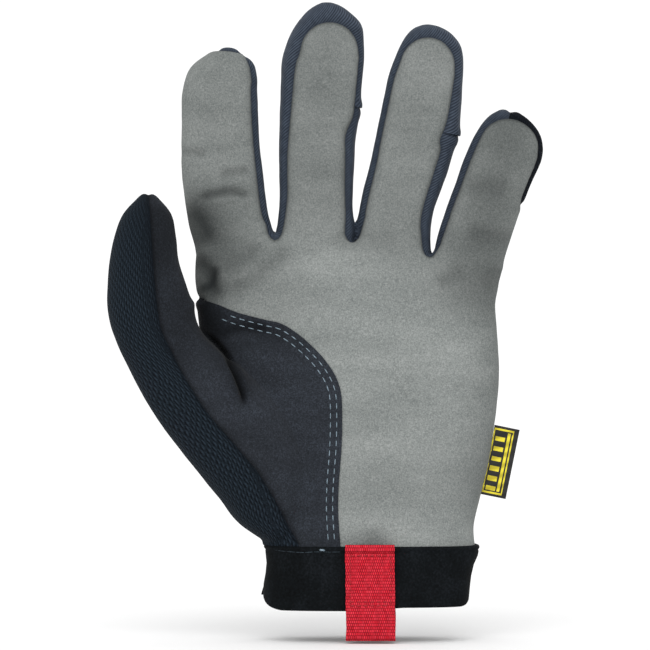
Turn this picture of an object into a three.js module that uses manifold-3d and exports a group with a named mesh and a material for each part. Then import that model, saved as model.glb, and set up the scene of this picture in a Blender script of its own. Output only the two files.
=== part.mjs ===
// A left-hand mechanic's work glove in the form it has on a hand, palm towards -Y and fingers up.
// Millimetres, +Z up. The origin is the centre of the wrist opening, at the cuff's lower edge.
// Tables hold their lengths as shares of the named sizes that they follow.
import * as THREE from 'three';
import { mergeVertices } from 'three/addons/utils/BufferGeometryUtils.js';
import Module from 'manifold-3d';

const wasm = await Module();
wasm.setup();

// Driving sizes
const FABRIC = 1.6;
const SEAM_GAP = 0.3;
const SIDE_SEAM_Y = 2;
const FAR = 120;

const CUFF = { height: 24, width: 84, depth: 43, wall: 2.4, roundness: 3, cornerWide: 8, cornerHigh: 5 };
const STRAP = { thickness: 2, left: 43.3, right: 27, bottom: 3.4, top: 20, slant: 4.5, corner: 4, frontY: 3 };
const LOOP = { width: 19.6, thickness: 1.3, middleX: 1, above: 1.2, below: 13, insideLeg: 15, foldGap: 0.9 };
const LABEL = { width: 10.6, length: 28, thickness: 1, tilt: 11.5, middleX: 52.9, middleZ: 57.4, tuck: 6 };

const PALM = { height: 122, width: 119, depth: 34, middleX: -6.5, roundness: 2.7, sides: 22 };
// The thumb's height, base and reach follow the palm.
const THUMB = { height: 1.156 * PALM.height, base: 0.167, reach: 0.656 * PALM.width, depth: 29 };
const THUMB_SHAPE = { roundness: 2.2, sides: 16, seamY: -8, rootSeamY: 4 };
const FINGER = { roundness: 2.2, sides: 16, backBand: 3.4, backTip: 4.5, webBand: 2.4 };
// The least half-width of a hollow's narrow end.
const LEAST = 0.3;

// Each finger runs from its root, placed on the palm as across and up, to its tip, and leans out by some
// degrees. tipBand is the width of the strip that shows over its tip from the front.
const INDEX = { across: -0.406, up: 0.938, length: 85.7, width: 31, depth: 21, lean: -2.7, tipBand: 0.9 };
const MIDDLE = { across: -0.1135, up: 0.977, length: 98.8, width: 32, depth: 22, lean: 1.2, tipBand: 8.2 };
const RING = { across: 0.142, up: 0.938, length: 97.1, width: 31.5, depth: 21, lean: 8.8, tipBand: 6.8 };
const LITTLE = { across: 0.367, up: 0.862, length: 73.7, width: 29, depth: 19, lean: 16.1, tipBand: 4.6 };

// A row for each section: along is a share of the length; wide, shift and the bands beside the palm panel
// are shares of the width; deep and fore are shares of the depth. A negative band wraps past the edge.
INDEX.sections = [
  { along: -0.2, wide: 0.88, shift: 0.08, deep: 1.1, fore: 0, leftBand: -0.2, rightBand: 0.1 },
  { along: 0.08, wide: 1.15, shift: 0.1, deep: 1.06, fore: 0, leftBand: -0.2, rightBand: 0.1 },
  { along: 0.2, wide: 1.06, shift: -0.01, deep: 1.02, fore: 0, leftBand: -0.2, rightBand: 0.065 },
  { along: 0.4, wide: 1.06, shift: -0.05, deep: 1, fore: 0, leftBand: -0.2, rightBand: 0.068 },
  { along: 0.6, wide: 1, shift: -0.06, deep: 0.97, fore: 0.02, leftBand: -0.2, rightBand: 0.058 },
  { along: 0.77, wide: 0.99, shift: -0.05, deep: 0.92, fore: 0.06, leftBand: -0.2, rightBand: 0.06 },
  { along: 0.85, wide: 0.94, shift: -0.025, deep: 0.86, fore: 0.09, leftBand: -0.2, rightBand: 0.055 },
  { along: 0.91, wide: 0.84, shift: 0.005, deep: 0.76, fore: 0.12, leftBand: -0.2, rightBand: 0.04 },
  { along: 0.96, wide: 0.57, shift: 0.04, deep: 0.58, fore: 0.15, leftBand: -0.2, rightBand: 0.03 },
  { along: 0.99, wide: 0.29, shift: 0.065, deep: 0.3, fore: 0.17, leftBand: -0.2, rightBand: 0.03 },
];
MIDDLE.sections = [
  { along: -0.2, wide: 0.98, shift: -0.03, deep: 1.08, fore: 0, leftBand: 0.075, rightBand: 0.075 },
  { along: 0.06, wide: 1.0, shift: -0.03, deep: 1.05, fore: 0, leftBand: 0.075, rightBand: 0.075 },
  { along: 0.2, wide: 0.94, shift: -0.035, deep: 1.02, fore: 0, leftBand: 0.085, rightBand: 0.078 },
  { along: 0.4, wide: 0.96, shift: -0.045, deep: 1, fore: 0, leftBand: 0.1, rightBand: 0.1 },
  { along: 0.6, wide: 1.0, shift: -0.01, deep: 0.97, fore: 0.02, leftBand: 0.13, rightBand: 0.045 },
  { along: 0.75, wide: 1.04, shift: 0.005, deep: 0.93, fore: 0.05, leftBand: 0.18, rightBand: 0.045 },
  { along: 0.84, wide: 0.97, shift: 0.04, deep: 0.87, fore: 0.08, leftBand: 0.235, rightBand: 0.045 },
  { along: 0.91, wide: 0.83, shift: 0.08, deep: 0.76, fore: 0.12, leftBand: 0.2, rightBand: 0.05 },
  { along: 0.96, wide: 0.58, shift: 0.065, deep: 0.57, fore: 0.15, leftBand: 0.2, rightBand: 0.05 },
  { along: 0.99, wide: 0.31, shift: 0.065, deep: 0.3, fore: 0.17, leftBand: 0.2, rightBand: 0.05 },
];
RING.sections = [
  { along: -0.2, wide: 0.98, shift: -0.03, deep: 1.08, fore: 0, leftBand: 0.06, rightBand: 0.13 },
  { along: 0.06, wide: 1.0, shift: -0.03, deep: 1.05, fore: 0, leftBand: 0.065, rightBand: 0.14 },
  { along: 0.2, wide: 0.97, shift: -0.06, deep: 1.02, fore: 0, leftBand: 0.07, rightBand: 0.165 },
  { along: 0.4, wide: 0.98, shift: 0.01, deep: 1, fore: 0, leftBand: 0.06, rightBand: 0.155 },
  { along: 0.6, wide: 1.01, shift: 0.05, deep: 0.97, fore: 0.02, leftBand: 0.055, rightBand: 0.155 },
  { along: 0.75, wide: 0.96, shift: 0.048, deep: 0.93, fore: 0.05, leftBand: 0.06, rightBand: 0.115 },
  { along: 0.85, wide: 0.865, shift: 0.057, deep: 0.87, fore: 0.08, leftBand: 0.08, rightBand: 0.1 },
  { along: 0.92, wide: 0.74, shift: 0.055, deep: 0.75, fore: 0.12, leftBand: 0.1, rightBand: 0.1 },
  { along: 0.965, wide: 0.52, shift: 0.035, deep: 0.56, fore: 0.15, leftBand: 0.1, rightBand: 0.1 },
  { along: 0.99, wide: 0.26, shift: 0.01, deep: 0.3, fore: 0.17, leftBand: 0.1, rightBand: 0.1 },
];
LITTLE.sections = [
  { along: -0.22, wide: 1.0, shift: -0.02, deep: 1.12, fore: 0, leftBand: 0.065, rightBand: -0.2 },
  { along: 0.1, wide: 1.04, shift: -0.03, deep: 1.06, fore: 0, leftBand: 0.065, rightBand: -0.2 },
  { along: 0.2, wide: 1.01, shift: -0.038, deep: 1.03, fore: 0, leftBand: 0.065, rightBand: -0.2 },
  { along: 0.4, wide: 0.99, shift: -0.007, deep: 1, fore: 0, leftBand: 0.062, rightBand: -0.2 },
  { along: 0.6, wide: 0.99, shift: 0.035, deep: 0.97, fore: 0.02, leftBand: 0.062, rightBand: -0.1 },
  { along: 0.76, wide: 0.99, shift: 0.085, deep: 0.92, fore: 0.05, leftBand: 0.065, rightBand: 0.02 },
  { along: 0.85, wide: 0.91, shift: 0.095, deep: 0.86, fore: 0.08, leftBand: 0.075, rightBand: 0.05 },
  { along: 0.92, wide: 0.72, shift: 0.075, deep: 0.74, fore: 0.12, leftBand: 0.08, rightBand: 0.08 },
  { along: 0.965, wide: 0.47, shift: 0.045, deep: 0.54, fore: 0.15, leftBand: 0.1, rightBand: 0.1 },
  { along: 0.99, wide: 0.2, shift: 0.01, deep: 0.26, fore: 0.17, leftBand: 0.1, rightBand: 0.1 },
];
const FINGERS = [INDEX, MIDDLE, RING, LITTLE];

// The neoprene band round the wrist: up is a share of its height, left and right of its width.
const CUFF_SECTIONS = [
  { up: 0, left: -0.505, right: 0.478, deep: 1 },
  { up: 0.35, left: -0.496, right: 0.483, deep: 1 },
  { up: 0.64, left: -0.481, right: 0.487, deep: 1 },
  { up: 0.85, left: -0.487, right: 0.515, deep: 1 },
  { up: 1, left: -0.497, right: 0.53, deep: 1 },
];

// The hand part above the cuff: up is a share of the height above the cuff, left and right of the width, deep
// of the depth, and each section slopes down to the right by some degrees.
const PALM_SECTIONS = [
  { up: -0.02, left: -0.297, right: 0.418, deep: 1.21, slope: 0 },
  { up: 0.06, left: -0.31, right: 0.412, deep: 1.19, slope: 0 },
  { up: 0.16, left: -0.34, right: 0.428, deep: 1.12, slope: 0 },
  { up: 0.29, left: -0.4, right: 0.458, deep: 1.04, slope: 0 },
  { up: 0.42, left: -0.455, right: 0.482, deep: 1, slope: 0 },
  { up: 0.55, left: -0.488, right: 0.492, deep: 0.98, slope: 0 },
  { up: 0.68, left: -0.505, right: 0.49, deep: 0.93, slope: 1 },
  { up: 0.81, left: -0.517, right: 0.482, deep: 0.84, slope: 2.5 },
  { up: 0.88, left: -0.52, right: 0.492, deep: 0.77, slope: 4 },
  { up: 0.94, left: -0.52, right: 0.5, deep: 0.69, slope: 5.5 },
  { up: 0.99, left: -0.5, right: 0.48, deep: 0.58, slope: 6.5 },
  { up: 1.02, left: -0.46, right: 0.44, deep: 0.34, slope: 7 },
];

// The thumb and its ball: up, left and right are shares of its height and reach, deep and fore of its depth.
const THUMB_SECTIONS = [
  { up: 0.012, left: 0.23, right: 0, deep: 0.9, fore: 0.04 },
  { up: 0.045, left: 0.28, right: -0.03, deep: 1.1, fore: 0.08 },
  { up: 0.13, left: 0.405, right: -0.05, deep: 1.2, fore: 0.16 },
  { up: 0.244, left: 0.575, right: -0.04, deep: 1.22, fore: 0.26 },
  { up: 0.357, left: 0.735, right: 0.06, deep: 1.16, fore: 0.34 },
  { up: 0.471, left: 0.855, right: 0.24, deep: 1.08, fore: 0.4 },
  { up: 0.56, left: 0.936, right: 0.44, deep: 1, fore: 0.43 },
  { up: 0.62, left: 0.978, right: 0.53, deep: 0.96, fore: 0.45 },
  { up: 0.68, left: 1, right: 0.55, deep: 0.92, fore: 0.46 },
  { up: 0.73, left: 1, right: 0.59, deep: 0.88, fore: 0.48 },
  { up: 0.8, left: 0.99, right: 0.632, deep: 0.84, fore: 0.5 },
  { up: 0.868, left: 0.967, right: 0.65, deep: 0.77, fore: 0.52 },
  { up: 0.925, left: 0.938, right: 0.67, deep: 0.66, fore: 0.54 },
  { up: 0.96, left: 0.9, right: 0.7, deep: 0.52, fore: 0.55 },
  { up: 0.99, left: 0.845, right: 0.755, deep: 0.28, fore: 0.56 },
];

// Seams on the thumb, as shares of the palm's width from its middle and of its height above the cuff.
// The knitted back of the thumb meets its suede front here, from the tip down to the cuff.
const THUMB_SEAM = [
  { across: -0.687, up: 1.2 },
  { across: -0.675, up: 1.118 },
  { across: -0.666, up: 1.003 },
  { across: -0.653, up: 0.839 },
  { across: -0.636, up: 0.716 },
  { across: -0.6025, up: 0.643 },
  { across: -0.5605, up: 0.561 },
  { across: -0.51, up: 0.479 },
  { across: -0.468, up: 0.421 },
  { across: -0.409, up: 0.356 },
  { across: -0.359, up: 0.298 },
  { across: -0.317, up: 0.249 },
  { across: -0.275, up: 0.184 },
  { across: -0.241, up: 0.126 },
  { across: -0.208, up: 0.061 },
  { across: -0.174, up: -0.005 },
  { across: -0.15, up: -0.05 },
];
// The free edge of the suede crescent over the ball of the thumb, from the cuff up to the thumb's root.
const CRESCENT = [
  { across: -0.033, up: -0.05 },
  { across: -0.045, up: 0.1 },
  { across: -0.044, up: 0.2 },
  { across: -0.034, up: 0.335 },
  { across: -0.033, up: 0.47 },
  { across: -0.043, up: 0.53 },
  { across: -0.066, up: 0.577 },
  { across: -0.1, up: 0.622 },
  { across: -0.147, up: 0.668 },
  { across: -0.193, up: 0.704 },
  { across: -0.24, up: 0.73 },
  { across: -0.29, up: 0.741 },
  { across: -0.385, up: 0.766 },
  { across: -0.446, up: 0.79 },
  { across: -0.495, up: 0.806 },
];
// Where the knitted back of the thumb ends on the back of the hand, from the cuff up to the thumb's root.
const THUMB_BACK_SEAM = [
  { across: -0.12, up: -0.05 },
  { across: -0.19, up: 0.12 },
  { across: -0.3, up: 0.3 },
  { across: -0.38, up: 0.48 },
  { across: -0.44, up: 0.64 },
  { across: -0.475, up: 0.76 },
  { across: -0.5, up: 0.81 },
];
// The middle of the gap between thumb and index finger, from the thumb's root up past both tips.
const THUMB_GAP = [
  { across: -0.53, up: 0.815 },
  { across: -0.547, up: 0.87 },
  { across: -0.554, up: 0.934 },
  { across: -0.561, up: 1 },
  { across: -0.58, up: 1.066 },
  { across: -0.592, up: 1.16 },
  { across: -0.592, up: 1.3 },
];

// The lower left corner of the part between thumb and index finger where the suede reaches further back.
const THUMB_ROOT = { across: -0.56, up: 0.645 };

// The lowest point of each gap between two fingers, from the index finger's to the little finger's.
const WEBS = [
  { across: -0.258, up: 1.035 },
  { across: 0.002, up: 1.03 },
  { across: 0.263, up: 0.98 },
];

// Where one strip between the fingers ends on the next: along is a share of the finger's length, and beside a
// share of its width.
const STRIP_ENDS = {
  middle: { finger: MIDDLE, along: 0.575, beside: 0.62 },
  ring: { finger: RING, along: 0.55, beside: 0.68 },
};

// Turns a closed geometry into a solid that can be joined and cut, and back.
function solid(geometry) {
  const bare = geometry.index ? geometry.toNonIndexed() : geometry.clone();
  const shell = new THREE.BufferGeometry().setAttribute('position', bare.getAttribute('position'));
  const merged = mergeVertices(shell, 1e-4);
  return new wasm.Manifold(new wasm.Mesh({
    numProp: 3,
    vertProperties: merged.attributes.position.array,
    triVerts: new Uint32Array(merged.index.array),
  }));
}

function geometryOf(made) {
  const { numProp, numVert, vertProperties, triVerts } = made.getMesh();
  const points = new Float32Array(numVert * 3);
  for (let i = 0; i < numVert; i++) points.set(vertProperties.subarray(i * numProp, i * numProp + 3), i * 3);
  const indexed = new THREE.BufferGeometry().setAttribute('position', new THREE.BufferAttribute(points, 3));
  indexed.setIndex(new THREE.BufferAttribute(new Uint32Array(triVerts), 1));
  return indexed;
}

// One closed section: an oval between an ellipse and a box, across one direction and deep along Y.
function ring(centre, across, halfWide, halfDeep, roundness, sides) {
  return Array.from({ length: sides }, (_, i) => {
    const angle = (2 * Math.PI * i) / sides;
    const c = Math.cos(angle);
    const s = Math.sin(angle);
    const u = Math.sign(c) * Math.abs(c) ** (2 / roundness) * halfWide;
    const v = Math.sign(s) * Math.abs(s) ** (2 / roundness) * halfDeep;
    return centre.clone().addScaledVector(across, u).add(new THREE.Vector3(0, v, 0));
  });
}

// A closed skin through rings of the same number of points, with a flat fan over each end.
function loft(rings) {
  const sides = rings[0].length;
  const points = rings.flat();
  const faces = [];
  for (let r = 0; r + 1 < rings.length; r++) {
    for (let i = 0; i < sides; i++) {
      const j = (i + 1) % sides;
      const [a, b, c, d] = [r * sides + i, r * sides + j, (r + 1) * sides + j, (r + 1) * sides + i];
      faces.push(a, b, c, a, c, d);
    }
  }
  [0, rings.length - 1].forEach((r, end) => {
    const hub = points.length;
    const middle = new THREE.Vector3();
    rings[r].forEach((p) => middle.addScaledVector(p, 1 / sides));
    points.push(middle);
    for (let i = 0; i < sides; i++) {
      const [a, b] = [r * sides + i, r * sides + ((i + 1) % sides)];
      faces.push(...(end ? [hub, a, b] : [hub, b, a]));
    }
  });
  const made = solid(new THREE.BufferGeometry().setFromPoints(points).setIndex(faces));
  if (made.volume() > 0) return made;
  return solid(new THREE.BufferGeometry().setFromPoints(points).setIndex(faces.reverse()));
}

// A prism through the glove along Y, from an outline of [x, z] points.
function prism(outline, nearY, farY) {
  const shape = new THREE.Shape(outline.map(([x, z]) => new THREE.Vector2(x, z)));
  const geometry = new THREE.ExtrudeGeometry(shape, { depth: farY - nearY, bevelEnabled: false });
  return solid(geometry.rotateX(Math.PI / 2).translate(0, farY, 0));
}

function smooth(points, steps) {
  const curve = new THREE.SplineCurve(points.map(([x, z]) => new THREE.Vector2(x, z)));
  return curve.getPoints(steps).map((p) => [p.x, p.y]);
}

// Moves an open line sideways, to its left for a positive distance.
function shifted(line, distance) {
  return line.map(([x, z], i) => {
    const [ax, az] = line[Math.max(i - 1, 0)];
    const [bx, bz] = line[Math.min(i + 1, line.length - 1)];
    const length = Math.hypot(bx - ax, bz - az);
    return [x - (distance * (bz - az)) / length, z + (distance * (bx - ax)) / length];
  });
}

const palmPoint = ({ across, up }) => [PALM.middleX + across * PALM.width, CUFF.height + up * PALM.height];

// A value from a finger's table at any share of its length.
function between(rows, key, name, at) {
  const next = rows.findIndex((row) => row[key] >= at);
  if (next <= 0) return rows[next < 0 ? rows.length - 1 : 0][name];
  const [low, high] = [rows[next - 1], rows[next]];
  return low[name] + ((high[name] - low[name]) * (at - low[key])) / (high[key] - low[key]);
}

const leanOf = (finger) => THREE.MathUtils.degToRad(finger.lean);

// The point at a share of a finger's length and some distance to the right of its line, as [x, z].
function onFinger(finger, along, right) {
  const [rootX, rootZ] = palmPoint(finger);
  const up = along * finger.length;
  const [s, c] = [Math.sin(leanOf(finger)), Math.cos(leanOf(finger))];
  return [rootX + up * s + right * c, rootZ + up * c - right * s];
}

function fingerForm(finger, inset) {
  const across = new THREE.Vector3(Math.cos(leanOf(finger)), 0, -Math.sin(leanOf(finger)));
  const tipShare = 1 - inset / finger.length;
  const rings = finger.sections.map((row) => {
    const [x, z] = onFinger(finger, Math.min(row.along, row.along * tipShare), row.shift * finger.width);
    const centre = new THREE.Vector3(x, -row.fore * finger.depth, z);
    const [wide, deep] = [row.wide * finger.width, row.deep * finger.depth];
    return ring(centre, across, Math.max(wide / 2 - inset, LEAST), Math.max(deep / 2 - inset, LEAST),
      FINGER.roundness, FINGER.sides);
  });
  return loft(rings);
}

// The hand part between wrist and finger roots. Its hollow runs on down through the open wrist.
function palmForm(inset) {
  const rings = PALM_SECTIONS.map((row, i) => {
    const slope = THREE.MathUtils.degToRad(row.slope);
    const across = new THREE.Vector3(Math.cos(slope), 0, -Math.sin(slope));
    const [left, right] = [row.left * PALM.width, row.right * PALM.width];
    const top = i > PALM_SECTIONS.length - 3 ? inset : 0;
    const z = CUFF.height + row.up * PALM.height - top - (i === 0 ? inset * 4 : 0);
    const centre = new THREE.Vector3(PALM.middleX + (left + right) / 2, 0, z);
    return ring(centre, across, (right - left) / 2 - inset, (row.deep * PALM.depth) / 2 - inset,
      PALM.roundness, PALM.sides);
  });
  return loft(rings);
}

function thumbForm(inset) {
  const across = new THREE.Vector3(1, 0, 0);
  const baseX = PALM.middleX - THUMB.base * PALM.width;
  const rings = THUMB_SECTIONS.map((row, i) => {
    const z = CUFF.height + row.up * THUMB.height + (i === 0 ? inset : 0) - (row.up > 0.9 ? inset : 0);
    const [left, right] = [baseX - row.left * THUMB.reach, baseX - row.right * THUMB.reach];
    const centre = new THREE.Vector3((left + right) / 2, -row.fore * THUMB.depth, z);
    return ring(centre, across, Math.max((right - left) / 2 - inset, LEAST),
      Math.max((row.deep * THUMB.depth) / 2 - inset, LEAST), THUMB_SHAPE.roundness, THUMB_SHAPE.sides);
  });
  return loft(rings);
}

function handForm(inset) {
  return FINGERS.reduce((form, finger) => form.add(fingerForm(finger, inset)), palmForm(inset))
    .add(thumbForm(inset));
}

// How far a finger's seams stand in from its outline, for the palm panel and for the back panel.
const frontBand = (finger, side, at) =>
  between(finger.sections, 'along', side < 0 ? 'leftBand' : 'rightBand', at) * finger.width;
const backBand = (finger, side) =>
  ((finger === INDEX && side < 0) || (finger === LITTLE && side > 0) ? -1 : 1) * FINGER.backBand;
const FRONT = { band: frontBand, tip: (finger) => finger.tipBand };
const BACK = { band: backBand, tip: () => FINGER.backTip };

// The edge of a panel on one finger, from its left root over the tip to its right root.
function fingerEdge(finger, panel, grow) {
  const end = 1 - (panel.tip(finger) - grow) / finger.length;
  const turn = end - (0.4 * finger.width) / finger.length;
  const edge = (side, at) => {
    const half = (between(finger.sections, 'along', 'wide', at) * finger.width) / 2;
    const shift = between(finger.sections, 'along', 'shift', at) * finger.width;
    return side * (half - panel.band(finger, side, at) + grow) + shift;
  };
  const shares = finger.sections.map((row) => row.along).filter((at) => at > 0.15 && at < turn - 0.02);
  const sideLine = (side) => [...shares, turn].map((at) => onFinger(finger, at, edge(side, at)));
  const [left, right] = [edge(-1, turn), edge(1, turn)];
  const centre = (left + right) / 2;
  const tip = [150, 120, 90, 60, 30].map((degrees) => {
    const angle = THREE.MathUtils.degToRad(degrees);
    const beside = centre + ((right - left) / 2) * Math.cos(angle);
    return onFinger(finger, turn + (end - turn) * Math.sin(angle), beside);
  });
  return smooth([...sideLine(-1), ...tip, ...sideLine(1).reverse()], 20);
}

// The outline of a whole panel over palm and fingers, front or back, grown sideways by some distance.
function panelOutline(panel, grow) {
  const fingers = FINGERS.flatMap((finger, i) => {
    const edge = fingerEdge(finger, panel, grow);
    if (i === FINGERS.length - 1) return edge;
    const [x, z] = palmPoint(WEBS[i]);
    const drop = FINGER.webBand - grow;
    return [...edge, [x - drop, z - 0.5 * drop], [x, z - 1.6 * drop], [x + drop, z - 0.5 * drop]];
  });
  const low = CUFF.height - PALM.height * 0.1;
  const [left, right] = [PALM.middleX - 0.62 * PALM.width, PALM.middleX + 0.62 * PALM.width];
  const shoulder = CUFF.height + 0.95 * PALM.height;
  return [[left, low], [left, shoulder], ...fingers, [right, shoulder], [right, low]];
}

// The suede over the thumb's front and its ball, up to the crescent's free edge.
function thumbFrontOutline(grow) {
  const seam = shifted(smooth(THUMB_SEAM.map(palmPoint), 12), -grow);
  const crescent = shifted(smooth(CRESCENT.map(palmPoint), 17), -grow);
  const gap = THUMB_GAP.map(palmPoint);
  return [...crescent, ...gap, ...seam];
}

// Between thumb and index finger the suede reaches further back.
function thumbRootOutline(grow) {
  const [left, bottom] = palmPoint(THUMB_ROOT).map((place) => place - grow);
  return [[left, bottom], [FAR, bottom], [FAR, 2 * FAR], [left, 2 * FAR]];
}

// The knitted back of the thumb with its seat on the back of the hand.
function thumbBackOutline(grow) {
  const seam = shifted(smooth(THUMB_BACK_SEAM.map(palmPoint), 8), -grow);
  const gap = THUMB_GAP.map(palmPoint);
  const left = PALM.middleX - PALM.width;
  return [[left, seam[0][1]], ...seam, ...gap, [left, gap[gap.length - 1][1]]];
}

// The line between two strips: up the finger's middle, out over its right side and on past its tip.
function stripBoundary({ finger, along, beside }, offset) {
  const at = along + offset / finger.length;
  const out = beside * finger.width;
  const [low, high] = [-0.3, 1.3];
  return [[low, 0], [at, 0], [at, out], [high, out]].map(([share, right]) => onFinger(finger, share, right));
}

// The far right side of the little finger's tip, where the back panel comes round to the front.
function littleTipOutline(grow) {
  const [low, high] = [0.45, 1.3];
  return [onFinger(LITTLE, low, -grow), onFinger(LITTLE, high, -grow),
    onFinger(LITTLE, high, LITTLE.width), onFinger(LITTLE, low, LITTLE.width)];
}

// The cuff's outer surface moved out by some distance, with some overhang past both its ends.
function cuffForm(outset, overhang) {
  const across = new THREE.Vector3(1, 0, 0);
  const last = CUFF_SECTIONS.length - 1;
  return loft(CUFF_SECTIONS.map((row, i) => {
    const z = CUFF.height * row.up + (i === last ? overhang : 0) - (i === 0 ? overhang : 0);
    const [left, right] = [row.left * CUFF.width - outset, row.right * CUFF.width + outset];
    const centre = new THREE.Vector3((left + right) / 2, 0, z);
    const halfDeep = (row.deep * CUFF.depth) / 2 + outset;
    return ring(centre, across, (right - left) / 2, halfDeep, CUFF.roundness, PALM.sides);
  }));
}

// A box seen from the front with rounded lower corners, as [x, z] points.
function roundedBelow(left, right, bottom, top, wide, high) {
  const corner = [0, 30, 60, 90].map((degrees) => THREE.MathUtils.degToRad(degrees));
  const lowRight = corner.map((t) => [right - wide * (1 - Math.sin(t)), bottom + high * (1 - Math.cos(t))]);
  const lowLeft = corner.map((t) => [left + wide * (1 - Math.cos(t)), bottom + high * (1 - Math.sin(t))]);
  return [...lowLeft, ...lowRight, [right, top], [left, top]];
}

function cuffBand() {
  const [left, right] = [CUFF_SECTIONS[0].left * CUFF.width - 1, CUFF_SECTIONS[0].right * CUFF.width + 1];
  const below = roundedBelow(left, right, 0, CUFF.height / 2, CUFF.cornerWide, CUFF.cornerHigh);
  const above = [[-CUFF.width, CUFF.height / 2 - 1], [CUFF.width, CUFF.height / 2 - 1],
    [CUFF.width, CUFF.height - SEAM_GAP / 2], [-CUFF.width, CUFF.height - SEAM_GAP / 2]];
  const band = cuffForm(0, 1).subtract(cuffForm(-CUFF.wall, 3));
  return band.intersect(prism(below, -FAR, FAR).add(prism(above, -FAR, FAR)));
}

// The closure strap over the back of the cuff. Its thumb-side end shows past the cuff's edge, low down.
function closureStrap() {
  const r = STRAP.corner;
  const corner = [-90, -60, -30, 0, 30, 60, 90].map((degrees) => THREE.MathUtils.degToRad(degrees));
  const rightEnd = corner.map((t) => {
    const middle = t < 0 ? STRAP.bottom + r : STRAP.top - r;
    return [STRAP.right - r + r * Math.cos(t), middle + r * Math.sin(t)];
  });
  const outline = [[-STRAP.left, STRAP.bottom], ...rightEnd, [-STRAP.left + STRAP.slant, STRAP.top],
    [-STRAP.left, STRAP.bottom + 2]];
  const band = cuffForm(SEAM_GAP + STRAP.thickness, 1).subtract(cuffForm(SEAM_GAP, 3));
  return band.intersect(prism(outline, STRAP.frontY, FAR));
}

// Red webbing, folded in two below the cuff: one leg in front of the palm's edge, one inside the cuff.
function pullLoop() {
  const half = LOOP.thickness / 2;
  const frontY = -CUFF.depth / 2 - SEAM_GAP - half;
  const insideY = -CUFF.depth / 2 + CUFF.wall + SEAM_GAP + half;
  const foldY = frontY + (LOOP.foldGap + LOOP.thickness) / 2;
  const low = -LOOP.below + half;
  const bend = (LOOP.foldGap + LOOP.thickness) / 2;
  const path = new THREE.CatmullRomCurve3([
    [frontY, CUFF.height + LOOP.above],
    [frontY, CUFF.height / 2],
    [frontY, low + 2 * bend],
    [foldY - 0.7 * bend, low + 0.3 * bend],
    [foldY, low],
    [foldY + 0.7 * bend, low + 0.3 * bend],
    [foldY + 1.2 * bend, low + 2 * bend],
    [insideY, -2],
    [insideY, LOOP.insideLeg],
  ].map(([y, z]) => new THREE.Vector3(0, y, z)), false, 'centripetal');
  const middle = path.getPoints(22).map((p) => [p.y, p.z]);
  const outline = [...shifted(middle, half), ...shifted(middle, -half).reverse()];
  const shape = new THREE.Shape(outline.map(([y, z]) => new THREE.Vector2(y, z)));
  const geometry = new THREE.ExtrudeGeometry(shape, { depth: LOOP.width, bevelEnabled: false });
  // The profile's plane is turned from XY to YZ, with the webbing's width along X.
  geometry.applyMatrix4(new THREE.Matrix4().makeBasis(new THREE.Vector3(0, 1, 0), new THREE.Vector3(0, 0, 1),
    new THREE.Vector3(1, 0, 0)));
  return solid(geometry.translate(LOOP.middleX - LOOP.width / 2, 0, 0));
}

// A folded woven label, held in the side seam. Its inner end follows the hand's outline.
function sideLabel() {
  const box = new THREE.BoxGeometry(LABEL.width + LABEL.tuck, LABEL.thickness, LABEL.length);
  box.translate(-LABEL.tuck / 2, 0, 0);
  box.rotateY(THREE.MathUtils.degToRad(LABEL.tilt));
  box.translate(LABEL.middleX, SIDE_SEAM_Y, LABEL.middleZ);
  return solid(box).subtract(palmForm(-SEAM_GAP));
}

// The hand's hollow shell above the cuff, cut along its seams into separate panels.
const half = SEAM_GAP / 2;
const shellFoot = CUFF.height + half;
const aboveCuff = [[-2 * FAR, shellFoot], [2 * FAR, shellFoot], [2 * FAR, 3 * FAR], [-2 * FAR, 3 * FAR]];
const wholeFront = [[-2 * FAR, -FAR], [2 * FAR, -FAR], [2 * FAR, 3 * FAR], [-2 * FAR, 3 * FAR]];
let rest = handForm(0).subtract(handForm(FABRIC)).intersect(prism(aboveCuff, -FAR, FAR));

// Takes a panel out of what is left of the shell, with half a seam gap on either side of the cut.
function cutOut(region) {
  const piece = rest.intersect(region(-half));
  rest = rest.subtract(region(half));
  return piece;
}

const thumbPalm = cutOut((grow) => {
  const depths = prism(thumbRootOutline(grow), -FAR, THUMB_SHAPE.rootSeamY + grow)
    .add(prism(wholeFront, -FAR, THUMB_SHAPE.seamY + grow));
  return prism(thumbFrontOutline(grow), -FAR, FAR).intersect(depths);
});
const thumbBack = cutOut((grow) => prism(thumbBackOutline(grow), -FAR, FAR));
const palm = cutOut((grow) => prism(panelOutline(FRONT, grow), -FAR, SIDE_SEAM_Y + grow));
const back = cutOut((grow) => prism(panelOutline(BACK, grow), SIDE_SEAM_Y - grow, FAR)
  .add(prism(littleTipOutline(grow), -FAR, FAR)));

const outerLeft = [onFinger(INDEX, -0.3, -INDEX.width), onFinger(INDEX, 1.3, -INDEX.width)];
const outerRight = [onFinger(LITTLE, -0.3, LITTLE.width), onFinger(LITTLE, 1.3, LITTLE.width)];
const middleEnd = (offset) => stripBoundary(STRIP_ENDS.middle, offset);
const ringEnd = (offset) => stripBoundary(STRIP_ENDS.ring, offset);
const strip = (left, right) => rest.intersect(prism([...left, ...right.reverse()], -FAR, FAR));

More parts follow.
